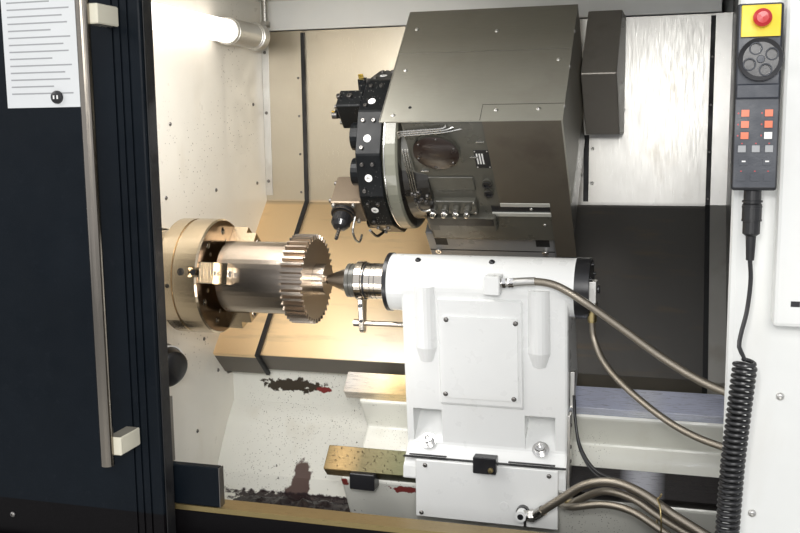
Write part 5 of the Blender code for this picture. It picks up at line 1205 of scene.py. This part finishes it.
UPPER = [(0.640, -0.080, 0.018), (0.656, -0.080, 0.019), (0.700, -0.085, 0.024), (0.750, -0.092, 0.018),
         (0.811, -0.104, -0.014), (0.880, -0.132, -0.054), (0.946, -0.165, -0.092), (1.010, -0.205, -0.120),
         (1.060, -0.236, -0.133), (1.077, -0.236, -0.133)]
REAR = [(0.8125, -0.030, -0.0603), (0.8135, -0.030, -0.078), (0.8175, -0.032, -0.098), (0.834, -0.048, -0.130),
        (0.862, -0.075, -0.158), (0.905, -0.112, -0.186), (0.960, -0.160, -0.212), (1.010, -0.200, -0.226),
        (1.060, -0.232, -0.232), (1.077, -0.232, -0.232)]
LOWER = [(0.697, -0.090, -0.450), (0.710, -0.0915, -0.448), (0.730, -0.102, -0.430), (0.763, -0.112, -0.402),
         (0.812, -0.126, -0.362), (0.866, -0.146, -0.344), (0.920, -0.172, -0.350), (0.980, -0.206, -0.374),
         (1.058, -0.248, -0.400), (1.077, -0.248, -0.400)]
SECOND = [(0.779, -0.076, -0.426), (0.800, -0.096, -0.404), (0.850, -0.122, -0.372), (0.905, -0.150, -0.372),
          (0.965, -0.186, -0.394), (1.058, -0.228, -0.424), (1.077, -0.228, -0.424)]
THIRD = [(0.764, -0.076, -0.428), (0.790, -0.112, -0.414), (0.850, -0.140, -0.392), (0.905, -0.168, -0.390),
         (0.965, -0.204, -0.410), (1.058, -0.252, -0.446), (1.077, -0.252, -0.446)]
CABLE_1 = [(0.778, -0.022, -0.215), (0.782, -0.030, -0.260), (0.795, -0.050, -0.312), (0.830, -0.086, -0.346),
           (0.890, -0.134, -0.352), (0.965, -0.186, -0.382), (1.058, -0.234, -0.404), (1.077, -0.234, -0.404)]
CABLE_2 = [(x, y + 0.010, z - 0.012) for x, y, z in CABLE_1]


def hose(name, routes, finish, node=None, sides=14):
    """Hoses that bend between the right wall and the tailstock."""
    bm = bmesh.new()
    for route, radius in routes:
        add_tube(bm, smooth_route([at(*p) for p in route], 0.006), radius, sides)
    piece = finish_mesh(name, bm, finish, None)
    if node:
        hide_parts(node)
    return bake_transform(piece)


def make_hoses():
    hose("upper_hose_braid", [(UPPER, 0.0075)], "braid", "upper_hose")
    hose("rear_hose_braid", [(REAR, 0.0065)], "braid", "rear_hose")
    hose("lower_hose_braid", [(LOWER, 0.0085)], "braid", "lower_hose")
    hose("second_hoses", [(SECOND, 0.0075), (THIRD, 0.0070)], "braid")
    hose("sensor_cables", [(CABLE_1, 0.0030), (CABLE_2, 0.0030)], "rubber", None, 10)
    tie = [(0.949, -0.188, -0.352), (0.955, -0.214, -0.362), (0.957, -0.214, -0.404), (0.950, -0.176, -0.408),
           (0.946, -0.158, -0.372), (0.949, -0.188, -0.352)]
    hose("cable_tie", [([*tie, (0.953, -0.200, -0.345), (0.956, -0.212, -0.334)], 0.0016)], "brass", None, 8)
    bm = bmesh.new()
    for (_, y, z), radius in ((UPPER[-1], 0.0125), (REAR[-1], 0.0115), (LOWER[-1], 0.0135), (SECOND[-1], 0.0120),
                              (THIRD[-1], 0.0115)):
        add_turned(bm, [(radius * 0.68, 0.014), (radius * 0.92, 0.0135), (radius, 0.010), (radius, 0.0)],
                   at(1.0779, y, z), -RIGHT, 20)
    finish_mesh("wall_glands", bm, "black", "frame")


# Door, front and pendant

def make_door_details():
    block("paper_sheet", (-0.2215, -0.4010, 0.366), (-0.0640, -0.4003, 0.612), "paper", "door", 0.0)
    blocks("paper_lines",
           [((-0.210, -0.4013, 0.590 - 0.0125 * n), (-0.210 + (0.13, 0.115, 0.125, 0.09)[n % 4], -0.4010,
                                                                 0.5925 - 0.0125 * n)) for n in range(17)],
           "key", "door", 0.0)
    turned("paper_magnet", [(0, 0.0062), (0.0080, 0.0062), (0.0110, 0.0052), (0.0118, 0.0030), (0.0118, 0.0)],
           at(-0.1137, -0.4012, 0.384), FORWARD, "black", "door", 32)
    blocks("magnet_mark", [((-0.1190, -0.4079, 0.3806), (-0.1160, -0.4074, 0.3872)),
                           ((-0.1115, -0.4079, 0.3806), (-0.1085, -0.4074, 0.3872))], "white", "door", 0.0)
    screws("door_screws", [at(x, -0.400, z) for x in (-1.10, -0.62, -0.275) for z in (0.590, -0.425)],
           FORWARD, 0.006,
           "zinc_dark", "door")
    blocks("window_frame", [((-0.885, -0.4028, 0.463), (-0.295, -0.4003, 0.485)),
                            ((-0.885, -0.4028, -0.005), (-0.295, -0.4003, 0.017)),
                            ((-0.885, -0.4028, 0.0175), (-0.863, -0.4003, 0.4625)),
                            ((-0.317, -0.4028, 0.0175), (-0.295, -0.4003, 0.4625))], "black", "door", 0.0008)
    blocks("door_seal", [((0.0612, -0.392, -0.470), (0.0635, -0.362, 0.635))], "seal", "door", 0.001)
    block("rail_stop", (0.311, -0.066, -0.441), (0.367, -0.030, -0.405), "black", "frame", 0.003)
    blocks("sill_guard", [((-0.1495, -0.3490, -0.3090), (0.0480, -0.3300, -0.1800)),
                          ((-0.1495, -0.3490, -0.3885), (0.1500, -0.3300, -0.3100))], "navy", "frame", 0.003)
    blocks("sill_guard_edge", [((0.0484, -0.3480, -0.3085), (0.0500, -0.3300, -0.1810)),
                               ((0.1504, -0.3480, -0.3880), (0.1520, -0.3300, -0.3110))], "zinc_dark", "frame", 0.0)
    turned("chip_flap_hub", [(0, 0.052), (0.034, 0.052), (0.042, 0.046), (0.046, 0.020), (0.046, 0.0), (0, 0.0)],
           at(-0.1497, -0.030, -0.198), Vector((0.86, -0.45, -0.2)), "black", "frame", 40)
    turned("chip_flap_ring", [(0.046, 0.0), (0.0485, 0.001), (0.0485, 0.005), (0.046, 0.006)],
           at(-0.1330, -0.0386, -0.2018), Vector((0.86, -0.45, -0.2)), "white", "frame", 40)


def make_pendant_details():
    x0, front_y, high = 1.0465, -0.440, 0.491
    colours = {(0, 0): "orange", (0, 1): "orange", (1, 0): "orange", (1, 1): "orange", (2, 0): "orange",
               (2, 1): "white", (3, 0): "key", (3, 1): "key", (3, 2): "key"}
    rows = ((0.149, (0.010, 0.042)), (0.165, (0.010, 0.042)), (0.181, (0.010, 0.042)),
            (0.200, (0.007, 0.026, 0.044)))
    caps = {"orange": [], "white": [], "key": []}
    lights = []
    for row, (down, starts) in enumerate(rows):
        for column, start in enumerate(starts):
            x, z = x0 + start, high - down
            caps[colours[row, column]].append(((x + 0.0006, front_y - 0.0024, z - 0.0104),
                                               (x + 0.0114, front_y - 0.0019, z - 0.0006)))
            if row < 3:
                lights.append(((x - 0.0042, front_y - 0.0006, z - 0.0066), (x - 0.0024, front_y, z - 0.0044)))
            else:
                lights.append(((x + 0.0050, front_y - 0.0006, z + 0.0014), (x + 0.0070, front_y, z + 0.0030)))
    for finish, ranges in caps.items():
        blocks(f"pendant_{finish}_keys", ranges, finish, "frame", 0.0003)
    for start in (0.007, 0.026, 0.044):
        lights.append(((x0 + start + 0.005, front_y - 0.0006, high - 0.2385),
                       (x0 + start + 0.007, front_y, high - 0.2370)))
    blocks("pendant_lights", lights, "red", "frame", 0.0)
    blocks("pendant_symbols",
           [((x0 + a, front_y - 0.0021, high - 0.2245), (x0 + a + 0.0052, front_y - 0.0019, high - 0.2225))
                               for a in (0.0135, 0.0455)], "white", "frame", 0.0)
    block("pendant_field", (x0 + 0.0022, front_y - 0.0003, 0.2300), (x0 + 0.0608, front_y, 0.3560), "plastic",
          "frame", 0.0)
    turned("wheel_hub", [(0, 0.0026), (0.0050, 0.0024), (0.0058, 0.0)],
           at(1.080, -0.4502, 0.412), FORWARD, "plastic",
           "pendant_wheel", 24)
    bm = bmesh.new()
    for step in range(4):
        turn = math.radians(25 + 90 * step)
        spot = at(1.080 + 0.0165 * math.cos(turn), -0.4505, 0.412 + 0.0165 * math.sin(turn))
        add_turned(bm, [(0.0073, 0.0), (0.0080, 0.0008), (0.0086, 0.0008), (0.0092, 0.0)], spot, FORWARD, 24)
    for step in range(36):
        turn = math.radians(10 * step)
        arm = Vector((math.cos(turn), 0, math.sin(turn)))
        side = arm.cross(FORWARD)
        base = at(1.080, -0.4425, 0.412) + arm * 0.0303
        add_prism(bm, [base - side * 0.0012, base + side * 0.0012, base + side * 0.0012 + FORWARD * 0.0062,
                       base - side * 0.0012 + FORWARD * 0.0062], arm, 0.0007)
    finish_mesh("wheel_grip", bm, "plastic", "pendant_wheel")
    bm = bmesh.new()
    for z in (0.178, 0.198, 0.206):
        add_turned(bm, [(0.0124, 0.0), (0.0146, 0.0006), (0.0146, 0.0030), (0.0124, 0.0036)],
                   at(1.078, -0.4175, z), UP, 28)
    finish_mesh("plug_rings", bm, "rubber", "frame")
    turned("cord_gland", [(0.0050, 0.014), (0.0085, 0.013), (0.0100, 0.009), (0.0135, 0.008), (0.0135, 0.0)],
           at(1.075, -0.3742, -0.640), FORWARD, "black", "frame", 28)


# Bed: swarf and chips

def make_swarf():
    """The heap of swarf on the bed's toe, with loose chips; the heap is painted near black, as dark as the band
    along the toe.
    """
    bm = bmesh.new()
    wide, deep = 70, 14
    rows = []
    for n in range(wide + 1):
        row = []
        for k in range(deep + 1):
            s, t = n / wide, k / deep
            x, y = -0.085 + 0.425 * s, 0.098 + 0.094 * t
            ground = -0.612 + (y - 0.094) / 0.110 * 0.034
            crest = math.sin(math.pi * s) ** 0.5 * math.sin(math.pi * t) ** 0.6
            rough = (0.6 + 0.5 * noise.noise(Vector((x * 28, y * 28, 1.0)))
                     + 0.35 * noise.noise(Vector((x * 90, y * 90, 4))))
            row.append(bm.verts.new(at(x, y, ground - 0.004 + 0.030 * crest * max(rough, 0.45))))
        rows.append(row)
    for a, b in zip(rows, rows[1:]):
        for k in range(deep):
            bm.faces.new((a[k], b[k], b[k + 1], a[k + 1]))
    for n in range(150):
        s = random.random()
        x, y = -0.06 + 0.37 * s, 0.118 + 0.055 * random.random()
        ground = -0.605 + (y - 0.094) / 0.110 * 0.034 + 0.012
        chip(bm, at(x, y, ground), 0.0016 + 0.0022 * random.random(), 0.0006)
    finish_mesh("swarf_heap", bm, "heap_black", "frame", 0.0, 60)
    bm = bmesh.new()
    for n in range(60):
        chip(bm, on_slant(random.uniform(0.26, 0.42), random.uniform(-0.320, -0.270), -0.2490),
             0.0010 + 0.0012 * random.random(), 0.0005)
    finish_mesh("rail_chips", bm, "swarf", "frame", 0.0, 60)


def chip(bm, spot, radius, thick):
    """One curled chip."""
    turn = Matrix.Rotation(random.uniform(0, 6.3), 3, Vector((random.random(), random.random(), 0.2)).normalized())
    route = [spot + turn @ Vector((radius * math.cos(0.9 * k), radius * math.sin(0.9 * k), radius * 0.35 * k))
             for k in range(6)]
    add_tube(bm, route, thick, 4)


def make_outside():
    """Panels, grilles, hinges and feet on the sides that the photograph doesn't show."""
    blocks("left_access_door", [((-1.1835, -0.14, -0.60), (-1.1803, 0.60, 0.56))], "casing", "frame", 0.0015)
    blocks("right_access_door", [((1.6203, -0.10, -0.60), (1.6235, 0.62, 0.56))], "casing", "frame", 0.0015)
    bm = bmesh.new()
    for x, out in ((-1.1835, -1), (1.6235, 1)):
        for z in (-0.45, 0.40):
            hinge = at(x + out * 0.003, 0.612 if out < 0 else 0.632, z)
            add_turned(bm, [(0, 0), (0.008, 0), (0.008, 0.09), (0, 0.09)], hinge, UP, 16)
        add_box(bm, (min(x, x + out * 0.016), -0.100, -0.06), (max(x, x + out * 0.016), -0.080, 0.06))
    finish_mesh("access_hinges", bm, "black", "frame", 0.002)
    rows = [((-1.1850, 0.74, -0.40 + 0.028 * n), (-1.1803, 1.02, -0.388 + 0.028 * n)) for n in range(12)]
    rows += [((1.6203, 0.74, -0.40 + 0.028 * n), (1.6250, 1.02, -0.388 + 0.028 * n)) for n in range(12)]
    blocks("side_louvres", rows, "casing", "frame", 0.0015)
    blocks("cabinet_louvres", [((x, 1.1402, -0.52 + 0.024 * n), (x + 0.22, 1.1440, -0.510 + 0.024 * n))
                               for x in (0.02, 0.62) for n in range(8)], "casing", "cabinet_door", 0.0012)
    turned("cabinet_lock", [(0, 0.010), (0.010, 0.010), (0.013, 0.007), (0.016, 0.0), (0, 0)],
           at(0.952, 1.1402, -0.05),
           (0, 1, 0), "zinc", "cabinet_door", 24)
    turned("switch_plate", [(0.0335, 0.0), (0.0420, 0.0), (0.0420, 0.0018), (0.0335, 0.0018), (0.0335, 0.0)],
           at(0.9017, 1.1402, 0.25), (0, 1, 0), "yellow", "cabinet_door", 40)
    bm = bmesh.new()
    for x, y in ((-0.95, -0.10), (-0.95, 0.90), (1.40, -0.10), (1.40, 0.90)):
        add_turned(bm, [(0, 0), (0.022, 0), (0.022, 0.006), (0.010, 0.008), (0.008, 0.014), (0, 0.015)],
                   at(x, y, 0.7600), UP, 20)
        loop = [at(x + 0.015 * math.cos(k * 0.349), y, 0.785 + 0.015 * math.sin(k * 0.349)) for k in range(19)]
        add_tube(bm, loop, 0.0050, 10)
    finish_mesh("lifting_eyes", bm, "zinc", "frame")
    bm = bmesh.new()
    for n in range(4):
        for y in (-0.200, 0.760):
            x = -1.030 + n * 2.500 / 3
            add_hex(bm, at(x, y, -1.052), -UP, 0.030, 0.018)
    finish_mesh("foot_nuts", bm, "zinc_dark", "frame")
    screws("casing_screws", [at(x, -0.3502, z) for x in (-1.14, -0.20) for z in (-0.98, -0.56)]
           + [at(x, -0.3502, z) for x in (1.10, 1.58) for z in (-0.98, -0.30, 0.72)]
           + [at(1.1345, -0.3502, -0.104)], FORWARD, 0.0065, "zinc", "frame")
    blocks("column_slot", [((1.1390, -0.4006, 0.0485), (1.1520, -0.4001, 0.0570))], "black", "frame", 0.0)
    widths = (0.20, 0.14, 0.24, 0.17, 0.22, 0.12)
    blocks("panel_screen_view",
           [((1.2060, -0.3993, 0.342 + 0.034 * n), (1.2060 + wide, -0.3990, 0.352 + 0.034 * n))
            for n, wide in enumerate(widths)],
           "green", "frame", 0.0)
    bm = bmesh.new()
    for row in range(5):
        for column in range(10):
            x, z = 1.201 + column * 0.034, 0.247 - row * 0.028
            add_box(bm, (x + 0.0008, -0.4025, z + 0.0008), (x + 0.0252, -0.4021, z + 0.0192))
    finish_mesh("panel_key_caps", bm, "key", "frame", 0.0006)
    turned("panel_stop_plate", [(0.0195, 0.0), (0.0290, 0.0), (0.0290, 0.0012), (0.0195, 0.0012), (0.0195, 0.0)],
           at(1.235, -0.4001, 0.072), FORWARD, "yellow", "frame", 40)


make_tailstock_details()
make_hoses()
make_door_details()
make_pendant_details()
make_swarf()
make_outside()


# Light and floor

def make_stage():
    """A pale floor, even studio light, and soft lamps in front of the doorway and inside it."""
    bm = bmesh.new()
    bmesh.ops.create_grid(bm, x_segments=1, y_segments=1, size=9.0)
    mesh = bpy.data.meshes.new("floor")
    bm.to_mesh(mesh)
    bm.free()
    floor = bpy.data.objects.new("floor", mesh)
    bpy.context.scene.collection.objects.link(floor)
    pale = Surface("pale_floor", (0.72, 0.72, 0.71), 0.7)
    pale.tint(pale.ramp(pale.noise(2.0), 0.4, 0.7), (0.69, 0.69, 0.68))
    mesh.materials.append(pale.material)
    floor.location.z = -0.001
    world = bpy.data.worlds.new("studio")
    bpy.context.scene.world = world
    world.use_nodes = True
    tree = world.node_tree
    shade = tree.nodes["Background"]
    shade.inputs["Color"].default_value = (0.93, 0.95, 1.0, 1)
    path = tree.nodes.new("ShaderNodeLightPath")
    seen = path.outputs["Is Camera Ray"]
    for ray in ("Is Glossy Ray", "Is Transmission Ray"):
        either = tree.nodes.new("ShaderNodeMath")
        either.operation = "MAXIMUM"
        tree.links.new(seen, either.inputs[0])
        tree.links.new(path.outputs[ray], either.inputs[1])
        seen = either.outputs[0]
    strength = tree.nodes.new("ShaderNodeMapRange")
    strength.inputs["To Min"].default_value = 0.46
    strength.inputs["To Max"].default_value = 0.92
    tree.links.new(seen, strength.inputs["Value"])
    tree.links.new(strength.outputs["Result"], shade.inputs["Strength"])
    for name, spot, aim, size, power, colour in (
            ("front_soft", (1.30, -3.7, 1.25), (0.2, 0.1, -0.1), 1.4, 62, (1.0, 0.98, 0.95)),
            ("key_flash", (0.90, -1.95, 0.50), (0.0, 0.2, -0.3), 0.12, 8, (1.0, 0.99, 0.97)),
            ("inner_soft", (0.17, -0.20, 0.48), (0.13, 0.25, -0.25), 0.3, 3.5, (1.0, 0.98, 0.95)),
            ("bed_soft", (0.26, -0.28, -0.12), (0.18, 0.15, -0.44), 0.16, 0.75, (1.0, 0.98, 0.96)),
            ("side_soft", (-2.6, -2.0, 2.0), (0.0, 0.0, 0.0), 1.8, 40, (1.0, 0.97, 0.93)),
            ("back_soft", (0.5, 4.0, 2.2), (0.2, 0.6, 0.0), 2.4, 60, (0.95, 0.97, 1.0))):
        data = bpy.data.lights.new(name, "AREA")
        data.energy, data.size, data.color = power, size, colour
        lamp = bpy.data.objects.new(name, data)
        bpy.context.scene.collection.objects.link(lamp)
        lamp.visible_camera = False
        lamp.location = at(*spot)
        lamp.rotation_euler = (at(*aim) - at(*spot)).to_track_quat("-Z", "Y").to_euler()
    bpy.context.scene.view_settings.view_transform = "Standard"


make_stage()

bpy.context.view_layer.update()
